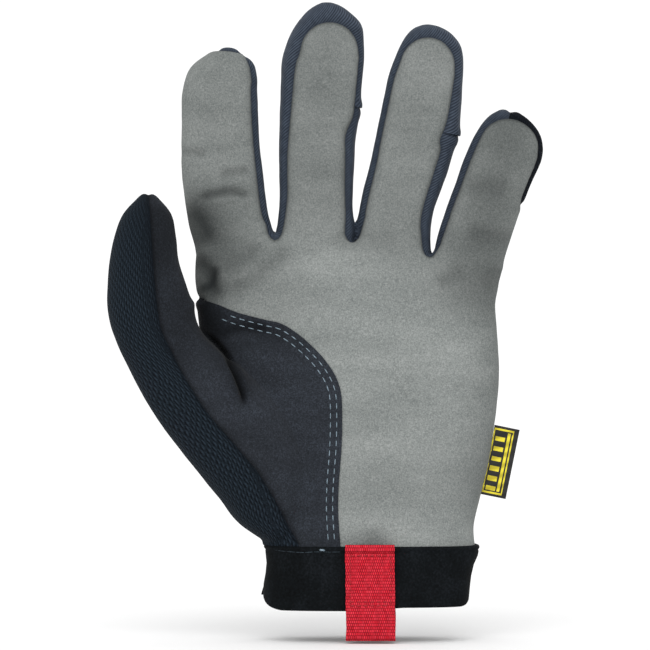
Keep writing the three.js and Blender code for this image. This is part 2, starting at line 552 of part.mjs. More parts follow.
// The largest of the bodies in a cut piece: slivers at a seam's end are left out.
function largestBody(geometry) {
  const points = mergeVertices(geometry, 1e-4);
  const index = points.index.array;
  const parent = Array.from({ length: points.attributes.position.count }, (_, i) => i);
  const find = (i) => {
    let root = i;
    while (parent[root] !== root) root = parent[root];
    return root;
  };
  for (let t = 0; t < index.length; t += 3) {
    const root = find(index[t]);
    [index[t], index[t + 1], index[t + 2]].forEach((i) => { parent[find(i)] = root; });
  }
  const bodies = new Map();
  for (let t = 0; t < index.length; t += 3) {
    const root = find(index[t]);
    bodies.set(root, [...(bodies.get(root) ?? []), index[t], index[t + 1], index[t + 2]]);
  }
  const largest = [...bodies.values()].reduce((a, b) => (b.length > a.length ? b : a));
  return points.setIndex(largest);
}

const SUEDE_GREY = 0x8c918e;
const SUEDE_CHARCOAL = 0x3a3d41;
const TWILL_NAVY = 0x3b4250;
const KNIT_NAVY = 0x1e242e;
const NEOPRENE_BLACK = 0x141517;
const WEBBING_RED = 0xc81e2d;
const LABEL_BLACK = 0x17181a;

// A row for each piece: its solid, its colour and its roughness.
const PIECES = [
  ['palm_panel', palm, SUEDE_GREY, 0.95],
  ['thumb_palm_panel', thumbPalm, SUEDE_CHARCOAL, 0.95],
  ['thumb_back_panel', thumbBack, KNIT_NAVY, 0.85],
  ['back_panel', back, KNIT_NAVY, 0.85],
  ['strip_index_middle', strip(outerLeft, middleEnd(half)), TWILL_NAVY, 0.8],
  ['strip_middle_ring', strip(middleEnd(-half), ringEnd(half)), TWILL_NAVY, 0.8],
  ['strip_ring_little', strip(ringEnd(-half), outerRight), TWILL_NAVY, 0.8],
  ['cuff', cuffBand(), NEOPRENE_BLACK, 0.8],
  ['closure_strap', closureStrap(), NEOPRENE_BLACK, 0.85],
  ['pull_loop', pullLoop(), WEBBING_RED, 0.6],
  ['side_label', sideLabel(), LABEL_BLACK, 0.7],
];

const glove = new THREE.Group();
PIECES.forEach(([name, made, color, roughness]) => {
  const geometry = largestBody(geometryOf(made));
  const mesh = new THREE.Mesh(geometry, new THREE.MeshStandardMaterial({ color, roughness, metalness: 0 }));
  mesh.name = name;
  glove.add(mesh);
});

export default glove;
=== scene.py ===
import math

import bpy
import numpy as np
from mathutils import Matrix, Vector, noise
from mathutils.bvhtree import BVHTree
from mathutils.kdtree import KDTree


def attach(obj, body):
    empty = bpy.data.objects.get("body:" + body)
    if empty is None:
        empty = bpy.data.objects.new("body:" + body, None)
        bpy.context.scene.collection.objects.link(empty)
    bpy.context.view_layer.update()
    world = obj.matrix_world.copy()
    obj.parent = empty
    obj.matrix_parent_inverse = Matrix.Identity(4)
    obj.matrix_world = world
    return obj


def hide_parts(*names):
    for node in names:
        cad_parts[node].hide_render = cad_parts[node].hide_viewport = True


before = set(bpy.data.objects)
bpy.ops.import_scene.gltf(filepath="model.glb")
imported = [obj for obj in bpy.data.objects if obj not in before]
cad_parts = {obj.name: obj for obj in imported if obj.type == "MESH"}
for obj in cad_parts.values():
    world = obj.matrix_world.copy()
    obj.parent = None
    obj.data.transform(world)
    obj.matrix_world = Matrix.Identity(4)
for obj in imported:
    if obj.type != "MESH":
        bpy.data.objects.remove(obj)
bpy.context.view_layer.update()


# ---- Camera
# Looks square at the palm from a long way off, as a catalogue camera does. One pixel of the 650 covers 0.4 mm
# at the glove, and the middle of the picture is a little left of the glove's origin and 112 mm above it.
PIXEL, PICTURE_WIDTH, PICTURE_MIDDLE = 0.0004, 650, (-43, 281)
CAMERA_DISTANCE, SENSOR_WIDTH = 1.8, 36
camera_data = bpy.data.cameras.new("camera")
camera_data.sensor_width = SENSOR_WIDTH
camera_data.lens = SENSOR_WIDTH * CAMERA_DISTANCE / (PICTURE_WIDTH * PIXEL)
camera_data.clip_end = 20
camera = bpy.data.objects.new("camera", camera_data)
camera.location = (PICTURE_MIDDLE[0] * PIXEL, -CAMERA_DISTANCE - 0.008, PICTURE_MIDDLE[1] * PIXEL)
camera.rotation_euler = (math.radians(90), 0, 0)
bpy.context.collection.objects.link(camera)
bpy.context.scene.camera = camera


# ---- Glove body
# The sewn panels of suede, twill and knit take the form of one skin: four fingers, the hand and the thumb of a
# left hand. The skin is lofted through short tables of sections, in millimetres and shares, joined and smoothed,
# and then parted along the seams, as the pattern pieces of the real glove are.
CUFF_TOP = 24.0
SIDE_SEAM = 2.0
PALM = {"height": 122, "width": 119, "depth": 34, "middle": -6.5, "round": 2.7}
THUMB = {"height": 141, "depth": 29, "base": -26.4, "reach": 78, "round": 2.2, "seam": -8.0}
FINGER_ROUND = 2.2

# Each finger: length, width, depth, its root in X and Z, its lean in degrees and the band over its front tip.
INDEX = {"length": 85.7, "width": 31, "depth": 21, "x": -54.8, "z": 138.4, "lean": -2.7, "tip": 0.9}
MIDDLE = {"length": 98.8, "width": 32, "depth": 22, "x": -20, "z": 143.2, "lean": 1.2, "tip": 8.4}
RING = {"length": 97.1, "width": 31.5, "depth": 21, "x": 10.4, "z": 138.4, "lean": 8.8, "tip": 6.8}
LITTLE = {"length": 73.7, "width": 29, "depth": 19, "x": 37.2, "z": 129.2, "lean": 16.1, "tip": 4.6}

# Columns: the share of the length, then width, sideways shift, depth and forward shift as shares of the finger's
# own width and depth, and how far the seams in front lie inside its left and right edges, as shares of its width.
# Below nought, the suede goes on round that side of the finger.
INDEX["rows"] = [
    (-0.2, 0.88, 0.08, 1.1, 0, -0.2, 0.1), (0.08, 1.14, 0.1, 1.06, 0, -0.2, 0.1),
    (0.2, 1.05, -0.012, 1.02, 0, -0.2, 0.065), (0.4, 1.045, -0.056, 1, 0, -0.2, 0.068),
    (0.6, 0.99, -0.063, 0.97, 0.02, -0.2, 0.058), (0.77, 0.975, -0.052, 0.92, 0.06, -0.2, 0.06),
    (0.85, 0.935, -0.02, 0.86, 0.09, -0.2, 0.055), (0.91, 0.825, 0.005, 0.76, 0.12, -0.2, 0.04),
    (0.955, 0.57, 0.035, 0.58, 0.15, -0.2, 0.03), (0.984, 0.3, 0.055, 0.32, 0.17, -0.2, 0.03),
    (0.996, 0.1, 0.06, 0.12, 0.17, -0.2, 0.03),
]
MIDDLE["rows"] = [
    (-0.2, 0.98, -0.03, 1.08, 0, 0.075, 0.075), (0.06, 0.98, -0.035, 1.05, 0, 0.075, 0.075),
    (0.2, 0.925, -0.04, 1.02, 0, 0.085, 0.078), (0.36, 0.95, -0.045, 1, 0, 0.095, 0.095),
    (0.46, 0.965, -0.037, 0.99, 0, 0.11, 0.115), (0.53, 0.985, -0.02, 0.98, 0.01, 0.12, 0.055),
    (0.6, 0.995, -0.01, 0.97, 0.02, 0.13, 0.045), (0.75, 1.03, 0.005, 0.93, 0.05, 0.18, 0.045),
    (0.84, 0.96, 0.042, 0.87, 0.08, 0.235, 0.045), (0.91, 0.82, 0.08, 0.76, 0.12, 0.2, 0.05),
    (0.958, 0.57, 0.065, 0.58, 0.15, 0.2, 0.05), (0.987, 0.33, 0.06, 0.34, 0.17, 0.2, 0.05),
    (1.001, 0.12, 0.05, 0.14, 0.17, 0.2, 0.05),
]
RING["rows"] = [
    (-0.2, 0.98, -0.03, 1.08, 0, 0.06, 0.13), (0.06, 0.955, -0.04, 1.05, 0, 0.065, 0.115),
    (0.2, 0.937, -0.069, 1.02, 0, 0.07, 0.127), (0.37, 0.985, 0.005, 1, 0, 0.06, 0.16),
    (0.47, 1.0, 0.028, 0.99, 0, 0.055, 0.145), (0.52, 1.01, 0.04, 0.98, 0.01, 0.055, 0.19),
    (0.6, 1.01, 0.055, 0.97, 0.02, 0.055, 0.155), (0.75, 0.955, 0.055, 0.93, 0.05, 0.06, 0.115),
    (0.85, 0.868, 0.068, 0.87, 0.08, 0.08, 0.1), (0.915, 0.745, 0.066, 0.75, 0.12, 0.1, 0.1),
    (0.955, 0.54, 0.045, 0.56, 0.15, 0.1, 0.1), (0.975, 0.33, 0.03, 0.31, 0.17, 0.1, 0.1),
    (0.985, 0.14, 0.02, 0.12, 0.17, 0.1, 0.1),
]
LITTLE["rows"] = [
    (-0.22, 1.0, -0.02, 1.12, 0, 0.065, -0.2), (0.1, 0.985, 0.008, 1.06, 0, 0.045, -0.2),
    (0.2, 0.97, -0.004, 1.03, 0, 0.05, -0.2), (0.4, 0.975, 0.013, 1, 0, 0.062, -0.2),
    (0.5, 0.975, 0.035, 0.98, 0.01, 0.062, 0.0), (0.6, 0.98, 0.056, 0.97, 0.02, 0.062, 0.026),
    (0.76, 0.985, 0.1, 0.92, 0.05, 0.065, 0.034), (0.85, 0.895, 0.103, 0.86, 0.08, 0.075, 0.05),
    (0.915, 0.7, 0.08, 0.74, 0.12, 0.08, 0.08), (0.957, 0.45, 0.045, 0.54, 0.15, 0.1, 0.1),
    (0.98, 0.2, 0.02, 0.26, 0.17, 0.1, 0.1),
]
FINGERS = (INDEX, MIDDLE, RING, LITTLE)

# The hand above the cuff: up, left and right edges, depth, and the slope of the section in degrees.
PALM["rows"] = [
    (-0.03, -0.297, 0.418, 1.21, 0), (0.06, -0.31, 0.412, 1.19, 0), (0.16, -0.34, 0.433, 1.12, 0),
    (0.29, -0.4, 0.463, 1.04, 0), (0.42, -0.455, 0.486, 1, 0), (0.55, -0.488, 0.497, 0.98, 0),
    (0.68, -0.507, 0.494, 0.93, 1), (0.81, -0.523, 0.483, 0.84, 2.5), (0.88, -0.53, 0.492, 0.77, 4),
    (0.94, -0.52, 0.5, 0.69, 5.5), (0.99, -0.5, 0.48, 0.58, 6.5), (1.02, -0.46, 0.44, 0.34, 7),
]

# The thumb and its ball: up, left and right edges out from the base, depth, and forward shift.
THUMB["rows"] = [
    (0.012, 0.2, 0, 0.9, 0.04), (0.04, 0.275, -0.03, 1.08, 0.08), (0.075, 0.35, -0.04, 1.14, 0.11),
    (0.13, 0.42, -0.05, 1.2, 0.16), (0.244, 0.583, -0.04, 1.22, 0.26), (0.357, 0.742, 0.06, 1.16, 0.34),
    (0.471, 0.857, 0.24, 1.08, 0.4), (0.56, 0.933, 0.44, 1, 0.43), (0.62, 0.972, 0.53, 0.96, 0.45),
    (0.68, 0.991, 0.56, 0.92, 0.46), (0.73, 0.992, 0.59, 0.88, 0.48), (0.8, 0.984, 0.63, 0.84, 0.5),
    (0.868, 0.96, 0.645, 0.77, 0.52), (0.925, 0.928, 0.658, 0.66, 0.54), (0.957, 0.893, 0.685, 0.53, 0.55),
    (0.986, 0.842, 0.735, 0.3, 0.56), (1.001, 0.808, 0.768, 0.12, 0.56),
]

# Seam lines in the glove's front plane, as shares of the palm's width and height: across, up.
THUMB_SEAM = [
    (-0.687, 1.2), (-0.675, 1.118), (-0.666, 1.003), (-0.653, 0.839), (-0.636, 0.716), (-0.6025, 0.643),
    (-0.5605, 0.561), (-0.51, 0.479), (-0.468, 0.421), (-0.409, 0.356), (-0.359, 0.298), (-0.317, 0.249),
    (-0.275, 0.184), (-0.241, 0.126), (-0.208, 0.061), (-0.174, -0.005), (-0.15, -0.05),
]
CRESCENT = [
    (-0.033, -0.05), (-0.045, 0.1), (-0.044, 0.2), (-0.034, 0.335), (-0.033, 0.47), (-0.043, 0.53),
    (-0.066, 0.577), (-0.1, 0.622), (-0.147, 0.668), (-0.193, 0.704), (-0.24, 0.73), (-0.29, 0.741),
    (-0.385, 0.766), (-0.446, 0.79), (-0.495, 0.806),
]
THUMB_BACK_SEAM = [
    (-0.12, -0.05), (-0.19, 0.12), (-0.3, 0.3), (-0.38, 0.48), (-0.44, 0.64), (-0.475, 0.76), (-0.5, 0.81),
]
THUMB_GAP = [
    (-0.53, 0.815), (-0.547, 0.87), (-0.554, 0.934), (-0.561, 1), (-0.58, 1.066), (-0.592, 1.16), (-0.592, 1.3),
]
# The webs between the fingers, how far each is drawn down, and the panels' edge round one, in millimetres from it.
WEBS = [(-0.258, 1.035), (0.002, 1.03), (0.263, 0.98)]
WEB_DROPS = (3.4, 4.2, 4.2)
WEB_CURVE = ((-2.4, -1.2), (-1.5, -3), (0, -3.8), (1.5, -3), (2.4, -1.2))
# A height below the panels' feet, and the back panel's bands beside a finger's edge and over its tip.
PANEL_FOOT, BACK_BAND, BACK_TIP = 10, 3.4, 4.5


def smooth_rows(rows, steps):
    """Rows of numbers, with others put between them on a smooth curve."""
    table = np.array(rows, float)
    padded = np.vstack([2 * table[0] - table[1], table, 2 * table[-1] - table[-2]])
    out = []
    for i in range(1, len(table)):
        a, b, c, d = padded[i - 1:i + 3]
        for t in np.arange(steps) / steps:
            out.append(0.5 * (2 * b + (c - a) * t + (2 * a - 5 * b + 4 * c - d) * t**2
                              + (3 * b - a - 3 * c + d) * t**3))
    return np.array(out + [table[-1]])


def oval(centre, across, half_wide, half_deep, roundness, sides=48):
    """One section between an ellipse and a box, across one direction and deep along Y."""
    turn = np.arange(sides) * 2 * math.pi / sides
    c, s = np.cos(turn), np.sin(turn)
    u = np.sign(c) * np.abs(c) ** (2 / roundness) * half_wide
    v = np.sign(s) * np.abs(s) ** (2 / roundness) * half_deep
    return np.array(centre) + np.outer(u, across) + np.outer(v, (0, 1, 0))


def on_finger(finger, along, right):
    """The point at a share of a finger's length and some millimetres to the right of its line."""
    lean, up = math.radians(finger["lean"]), along * finger["length"]
    return np.array([finger["x"] + up * math.sin(lean) + right * math.cos(lean),
                     finger["z"] + up * math.cos(lean) - right * math.sin(lean)])


def loft(rings, points, faces):
    """Adds a closed skin through the rings, with a fan over each end."""
    start, sides = len(points), len(rings[0])
    points.extend(p for ring in rings for p in ring)
    for r in range(len(rings) - 1):
        for i in range(sides):
            a, b = start + r * sides + i, start + r * sides + (i + 1) % sides
            faces.append((a, b, b + sides, a + sides))
    for r in (0, len(rings) - 1):
        points.append(rings[r].mean(axis=0))
        first = start + r * sides
        for i in range(sides):
            pair = (first + i, first + (i + 1) % sides)
            faces.append((*(pair if r else pair[::-1]), len(points) - 1))


def cloth_mesh(name, points, faces, attributes=()):
    """A mesh object from points in millimetres, with values kept on its points."""
    mesh = bpy.data.meshes.new(name)
    mesh.from_pydata((np.asarray(points) * 0.001).tolist(), [], [tuple(map(int, face)) for face in faces])
    for key, values in dict(attributes).items():
        values = np.asarray(values, float)
        kind, slot = ("FLOAT", "value") if values.ndim == 1 else ("FLOAT_VECTOR", "vector")
        mesh.attributes.new(key, kind, "POINT").data.foreach_set(slot, values.ravel())
    piece = bpy.data.objects.new(name, mesh)
    bpy.context.collection.objects.link(piece)
    return piece


def take_up(piece):
    """Makes a piece the only one that the next tools act on."""
    bpy.ops.object.select_all(action="DESELECT")
    bpy.context.view_layer.objects.active = piece
    piece.select_set(True)


def outward(piece, join=0.0):
    """Joins a closed piece's points that lie this close, in metres, and turns its faces outwards."""
    take_up(piece)
    bpy.ops.object.mode_set(mode="EDIT")
    bpy.ops.mesh.select_all(action="SELECT")
    if join:
        bpy.ops.mesh.remove_doubles(threshold=join)
    bpy.ops.mesh.normals_make_consistent(inside=False)
    bpy.ops.object.mode_set(mode="OBJECT")


def finish_with(piece, kind, **settings):
    """Adds one modifier to a piece and applies it."""
    take_up(piece)
    modifier = piece.modifiers.new(kind.lower(), kind)
    for name, value in settings.items():
        setattr(modifier, name, value)
    bpy.ops.object.modifier_apply(modifier=modifier.name)


points, faces = [], []
for finger in FINGERS:
    lean = math.radians(finger["lean"])
    across = np.array([math.cos(lean), 0, -math.sin(lean)])
    rings = []
    for along, wide, shift, deep, fore, *_ in smooth_rows(finger["rows"], 4):
        x, z = on_finger(finger, along, shift * finger["width"])
        rings.append(oval((x, -fore * finger["depth"], z), across, wide * finger["width"] / 2,
                          deep * finger["depth"] / 2, FINGER_ROUND))
    loft(rings, points, faces)
rings = []
for up, left, right, deep, slope in smooth_rows(PALM["rows"], 4):
    slope = math.radians(slope)
    left, right = left * PALM["width"], right * PALM["width"]
    rings.append(oval((PALM["middle"] + (left + right) / 2, 0, CUFF_TOP + up * PALM["height"]),
                      (math.cos(slope), 0, -math.sin(slope)), (right - left) / 2, deep * PALM["depth"] / 2,
                      PALM["round"], 96))
loft(rings, points, faces)
rings = []
for up, left, right, deep, fore in smooth_rows(THUMB["rows"], 4):
    left, right = THUMB["base"] - left * THUMB["reach"], THUMB["base"] - right * THUMB["reach"]
    rings.append(oval(((left + right) / 2, -fore * THUMB["depth"], CUFF_TOP + up * THUMB["height"]), (1, 0, 0),
                      (right - left) / 2, deep * THUMB["depth"] / 2, THUMB["round"]))
loft(rings, points, faces)

body = cloth_mesh("glove_body", points, faces)
outward(body)
body.data.remesh_voxel_size = 0.0009
body.data.remesh_voxel_adaptivity = 0
bpy.ops.object.voxel_remesh()
finish_with(body, "SMOOTH", factor=0.5, iterations=9)

# The skin as arrays in millimetres: each row holds a point, its outward direction and how much painted shade its
# cloth gets in creases and hollows.
body_mesh = body.data
body_mesh.calc_loop_triangles()
count = len(body_mesh.vertices)
skin = np.zeros((count, 7))
flat = np.empty(count * 3)
body_mesh.vertices.foreach_get("co", flat)
skin[:, :3] = flat.reshape(-1, 3) * 1000
body_mesh.vertices.foreach_get("normal", flat)
skin[:, 3:6] = flat.reshape(-1, 3)
corners = np.empty(len(body_mesh.loop_triangles) * 3, np.int64)
body_mesh.loop_triangles.foreach_get("vertices", corners)
skin_faces = corners.reshape(-1, 3)
bpy.data.objects.remove(body)


def lengths_along(line):
    """How much of a line of points lies before each of them."""
    return np.concatenate([[0], np.cumsum(np.linalg.norm(np.diff(line, axis=0), axis=1))])


def distance_to_line(plane, line, closed=False):
    """How far points of the front plane lie from a line of points, and at what share of the line's length."""
    line = np.asarray(line, float)
    ends = np.vstack([line[1:], line[:1]]) if closed else line[1:]
    lengths = np.linalg.norm(ends - line[:len(ends)], axis=1)
    reached = np.concatenate([[0], np.cumsum(lengths)])
    nearest, share = np.full(len(plane), 1e9), np.zeros(len(plane))
    for i, (a, b) in enumerate(zip(line, ends)):
        step = b - a
        t = np.clip(((plane - a) @ step) / max(step @ step, 1e-12), 0, 1)
        gap = plane - a - t[:, None] * step
        squared = np.einsum("ij,ij->i", gap, gap)
        closer = squared < nearest
        nearest[closer] = squared[closer]
        share[closer] = (reached[i] + t[closer] * lengths[i]) / max(reached[-1], 1e-9)
    return np.sqrt(nearest), share


def within(plane, outline):
    """The distance to a closed outline, positive inside it."""
    outline = np.asarray(outline, float)
    inside = np.zeros(len(plane), bool)
    for (ax, az), (bx, bz) in zip(outline, np.roll(outline, -1, axis=0)):
        if az == bz:
            continue
        crosses = (az > plane[:, 1]) != (bz > plane[:, 1])
        inside ^= crosses & (plane[:, 0] < ax + (plane[:, 1] - az) * (bx - ax) / (bz - az))
    return np.where(inside, 1, -1) * distance_to_line(plane, outline, closed=True)[0]


def on_palm(across, up):
    """The point at shares of the palm's width and height, in millimetres."""
    return np.array([PALM["middle"] + across * PALM["width"], CUFF_TOP + up * PALM["height"]])


def palm_points(line, steps=8):
    """A seam line in millimetres, on a smooth curve."""
    return [on_palm(across, up) for across, up in smooth_rows(line, steps)]


def panel_outline(front):
    """The outline of the palm panel, or of the back panel, over the hand and all four fingers."""
    reach = 0.62 * PALM["width"]
    shoulder = CUFF_TOP + 0.95 * PALM["height"]
    outline = [(PALM["middle"] - reach, PANEL_FOOT), (PALM["middle"] - reach, shoulder)]
    for i, finger in enumerate(FINGERS):
        table = smooth_rows(finger["rows"], 3)
        wrap = {-1: finger is INDEX, 1: finger is LITTLE}

        def edge(side, at):
            wide, shift, *bands = (np.interp(at, table[:, 0], table[:, k]) * finger["width"]
                                   for k in (1, 2, 5, 6))
            if front:
                band = bands[0] if side < 0 else bands[1]
            else:
                band = -BACK_BAND if wrap[side] else BACK_BAND
            return side * (wide / 2 - band) + shift

        end = 1 - (finger["tip"] if front else BACK_TIP) / finger["length"]
        turn = end - 0.4 * finger["width"] / finger["length"]
        shares = [s for s in table[:, 0] if 0.15 < s < turn - 0.02] + [turn]
        sides = {side: [on_finger(finger, s, edge(side, s)) for s in shares] for side in (-1, 1)}
        left, right = edge(-1, turn), edge(1, turn)
        square = 0.45 if front and finger is INDEX else 1
        tip = [on_finger(finger, turn + (end - turn) * math.sin(a), (left + right) / 2
                         + (right - left) / 2 * math.copysign(abs(math.cos(a)) ** square, math.cos(a)))
               for a in np.radians([150, 120, 90, 60, 30])]
        outline += list(smooth_rows(sides[-1] + tip + sides[1][::-1], 4))
        if i < len(WEBS):
            x, z = on_palm(*WEBS[i])
            outline += [(x + beside, z + above) for beside, above in WEB_CURVE]
    return outline + [(PALM["middle"] + reach, shoulder), (PALM["middle"] + reach, PANEL_FOOT)]


def strip_boundary(finger, share, beside):
    """The line between two strips: up the finger's middle, out over its right side and on past its tip."""
    out = beside * finger["width"]
    return [on_finger(finger, *place) for place in ((-0.3, 0), (share, 0), (share, out), (1.3, out))]


# A point of the skin this close to a seam, in millimetres, is taken to lie on it.
SNAP = 0.08


def split(surface, field):
    """Parts triangles along the line where a field on the points is nought, and returns both sides."""
    global skin
    field = np.where(np.abs(field) < SNAP, 0, field)
    sign = np.sign(field)[surface]
    mixed = (sign.max(axis=1) > 0) & (sign.min(axis=1) < 0)
    sides = [list(surface[~mixed & (sign.max(axis=1) > 0)]), list(surface[~mixed & (sign.max(axis=1) <= 0)])]
    new, made = [], {}

    def between(a, b):
        key = (min(a, b), max(a, b))
        if key not in made:
            t = field[key[0]] / (field[key[0]] - field[key[1]])
            made[key] = len(skin) + len(new)
            new.append(skin[key[0]] * (1 - t) + skin[key[1]] * t)
        return made[key]

    for triangle, signs in zip(surface[mixed], sign[mixed]):
        side = [sides[0] if s > 0 else sides[1] for s in signs]
        if 0 in signs:
            k = int(np.argmin(np.abs(signs)))
            a, b, c = (triangle[(k + j) % 3] for j in range(3))
            p = between(b, c)
            side[(k + 1) % 3].append((a, b, p))
            side[(k + 2) % 3].append((a, p, c))
        else:
            k = next(k for k in range(3) if signs[k] != signs[k - 1] and signs[k] != signs[(k + 1) % 3])
            a, b, c = (triangle[(k + j) % 3] for j in range(3))
            p, q = between(a, b), between(a, c)
            side[k].append((a, p, q))
            side[(k + 1) % 3].extend([(p, b, c), (p, c, q)])
    if new:
        skin = np.vstack([skin, new])
    return np.array(sides[0], np.int64).reshape(-1, 3), np.array(sides[1], np.int64).reshape(-1, 3)


def plane_of_skin():
    """Every point of the skin as it is seen from the front: X and Z."""
    return skin[:, [0, 2]]


# Creases that the bent hand leaves in front: depth and half-width in millimetres, darkness of the painted shade
# laid along each, then points as X, Z. Those with no depth only darken the cloth along their lines: painted shade
# beside the creases and in the hollow at the thumb's root, and darker bands over the fingers and parts of the
# palm.
CREASES_AND_SHADE = [
    (0.6, 1.6, 0.25, [(-76, 182), (-70, 181.2), (-64, 180.6)]),
    (0.7, 1.6, 0.28, [(-60, 172.2), (-53, 173.4), (-46, 174.4)]),
    (1.0, 1.4, 0.5, [(-69, 162.4), (-62, 164.4), (-54, 165.6), (-45.6, 163.4)]),
    (0.9, 4.6, 0.42, [(-74, 160), (-68.6, 156), (-65.8, 150), (-64, 142)]),
    (0, 2.2, 0.42, [(-71, 159.2), (-67.6, 155.2), (-64.8, 151), (-62.4, 146)]),
    (1.2, 2.8, 0.5, [(-72, 139), (-65.6, 134.6), (-63, 128.6), (-60, 122)]),
    (0, 5.0, 0.42, [(-69, 141), (-66, 133), (-64, 126), (-62, 119)]),
    (0.5, 1.7, 0.8, [(-61, 137), (-61.6, 132.6), (-63.4, 128.4), (-66.6, 126.6), (-69, 126.4)]),
    (0.5, 3.0, 0.25, [(-58, 124.6), (-46, 131), (-36, 139), (-29, 144.4)]),
    (0.4, 2.6, 0.2, [(-60, 133), (-50, 138), (-42, 146)]),
    (0.4, 4.0, 0.15, [(-17, 146), (-2, 145), (14, 147)]),
    (0.5, 3.5, 0.25, [(38, 166.4), (48, 167.6), (57, 165.4)]),
    (0.6, 3.0, 0.3, [(38, 149.6), (48, 148), (59, 146)]),
    (0.4, 3.0, 0.2, [(27, 128), (33, 131.5), (38, 135)]),
    (0.5, 3.0, 0.2, [(45, 127), (50, 131), (53, 136)]),
    (0, 9.0, 0.42, [(-78, 166), (-66, 152), (-60, 136), (-64, 112)]),
    (0, 14.0, 0.2, [(-66, 176), (-52, 152), (-40, 128), (-30, 104)]),
    (0, 15.0, 0.24, [(-61, 120), (-62, 176), (-63, 232), (-63, 262)]),
    (0, 15.0, 0.3, [(-18, 136), (-19, 176), (-18, 228), (-17, 270)]),
    (0, 15.0, 0.24, [(8, 122), (17, 170), (26, 224), (33, 262)]),
    (0, 14.0, 0.5, [(36, 106), (47, 152), (57, 188), (66, 222)]),
    (0, 10.0, 0.3, [(58, 150), (56, 110), (52, 70), (46, 26)]),
    (0, 12.0, 0.12, [(-30, 60), (0, 50), (30, 48), (60, 60)]),
    (0, 7.0, 0.4, [(-87, 172), (-84, 142), (-79, 118), (-68, 92)]),
    (0, 4.0, 0.3, [(2, 34), (2, 28), (2, 22), (2, 14)]),
    (1.9, 1.0, 0.95, [(-66.5, 110.4), (-63, 107.2), (-60.4, 104.8), (-57.2, 101.2), (-54.8, 96.8), (-52.8, 92.8),
                      (-51.2, 88.8), (-49.6, 84), (-48.2, 78)]),
    (0, 3.6, 0.5, [(-64, 108), (-57, 101.2), (-52.8, 92.8), (-48.6, 80)]),
    (0.9, 1.8, 0.55, [(-61.6, 103.4), (-58.4, 107.4), (-55.2, 109.8), (-50, 111), (-44, 111.2), (-38, 109.6)]),
    (0, 4.4, 0.75, [(-68, 122), (-65.5, 117), (-62.5, 111), (-58, 107)]),
    (0, 3.0, 0.4, [(-66, 116), (-52, 113.5), (-40, 110.5), (-30, 107)]),
]
# Small swellings, where seam ends lie under the cloth: X, Z, radius and height.
SWELLINGS = [(-69.6, 121, 2.0, 0.8), (-4.6, 199.5, 3.4, 0.8), (35.5, 188.5, 3.8, 1.0)]
# Beside a crease the cloth rises, by a share of its depth and some half-widths away, and its shade spreads wider.
RIDGE, RIDGE_AWAY, SHADE_SPREAD = 0.3, 2.3, 1.25
# How uneven the cloth lies all over: height and size.
WAVES = ((0.5, 21), (0.14, 6.5))

front = np.clip(-skin[:, 4] * 2.5, 0, 1)
shown = np.clip(1 - 4 * skin[:, 4], 0, 1)
push = np.zeros(count)
for depth, half_width, darkness, line in CREASES_AND_SHADE:
    distance, share = distance_to_line(plane_of_skin(), smooth_rows(line, 4))
    fade = np.clip(5 * share, 0, 1) * np.clip(5 * (1 - share), 0, 1)
    fade = fade * fade * (3 - 2 * fade)
    push -= depth * fade * front * np.exp(-(distance / half_width) ** 2)
    push += RIDGE * depth * fade * front * np.exp(-((distance - RIDGE_AWAY * half_width) / half_width) ** 2)
    # The darkness is painted shade, kept to the sides of the skin that face the front.
    shade = darkness * fade * shown * np.exp(-(distance / (SHADE_SPREAD * half_width)) ** 2)
    skin[:, 6] = 1 - (1 - skin[:, 6]) * (1 - shade)
for x, z, radius, height in SWELLINGS:
    squared = (skin[:, 0] - x) ** 2 + (skin[:, 2] - z) ** 2
    push += height * np.exp(-squared / radius**2)
for i, row in enumerate(skin):
    push[i] += sum(height * noise.noise(Vector(row[:3]) / size) for height, size in WAVES)
skin[:, :3] += skin[:, 3:6] * push[:, None]
for web, drop in zip(WEBS, WEB_DROPS):
    x, z = on_palm(*web)
    near = np.exp(-((skin[:, 0] - x) / 2.6) ** 2 - ((skin[:, 2] - z - 4) / 6) ** 4)
    skin[:, 2] -= drop * near * np.clip(skin[:, 5] * 1.6, 0, 1)

thumb_front_line = palm_points(CRESCENT) + palm_points(THUMB_GAP, 2) + palm_points(THUMB_SEAM)
thumb_back_line = [np.array([PALM["middle"] - PALM["width"], PANEL_FOOT])]
thumb_back_line += palm_points(THUMB_BACK_SEAM) + palm_points(THUMB_GAP, 2) + [on_palm(-1, 1.3)]
little_tip = [on_finger(LITTLE, along, right) for along, right in (
    (0.45, 0), (1.3, 0), (1.3, LITTLE["width"]), (0.45, LITTLE["width"]))]
middle_line, ring_line = strip_boundary(MIDDLE, 0.575, 0.62), strip_boundary(RING, 0.55, 0.68)
far_left = [on_finger(INDEX, -0.3, -INDEX["width"]), on_finger(INDEX, 1.3, -INDEX["width"])]

above_cuff, _ = split(skin_faces, skin[:, 2] - CUFF_TOP - 0.25)
crotch = np.clip((skin[:, 2] - 96) / 14, 0, 1) * np.clip((skin[:, 0] + 76) / 6, 0, 1)
seam_depth = THUMB["seam"] + 13 * crotch - skin[:, 1]
thumb_suede_faces, rest = split(above_cuff, np.minimum(within(plane_of_skin(), thumb_front_line), seam_depth))
thumb_knit_faces, rest = split(rest, within(plane_of_skin(), thumb_back_line))
palm_faces, rest = split(rest, np.minimum(within(plane_of_skin(), panel_outline(True)), SIDE_SEAM - skin[:, 1]))
back_field = np.minimum(within(plane_of_skin(), panel_outline(False)), skin[:, 1] - SIDE_SEAM)
back_faces, rest = split(rest, np.maximum(back_field, within(plane_of_skin(), little_tip)))
index_strip_faces, rest = split(rest, within(plane_of_skin(), far_left + middle_line[::-1]))
middle_strip_faces, ring_strip_faces = split(rest, within(plane_of_skin(), middle_line + ring_line[::-1]))


# ---- Palm suede
# Grey synthetic suede in one piece, over the palm and the fronts of the four fingers. It is sewn to the cloth
# round it with turned-in seams, so it dips along its edges, and its short nap is rubbed lighter and darker.
CLOTH_WALL = 1.35
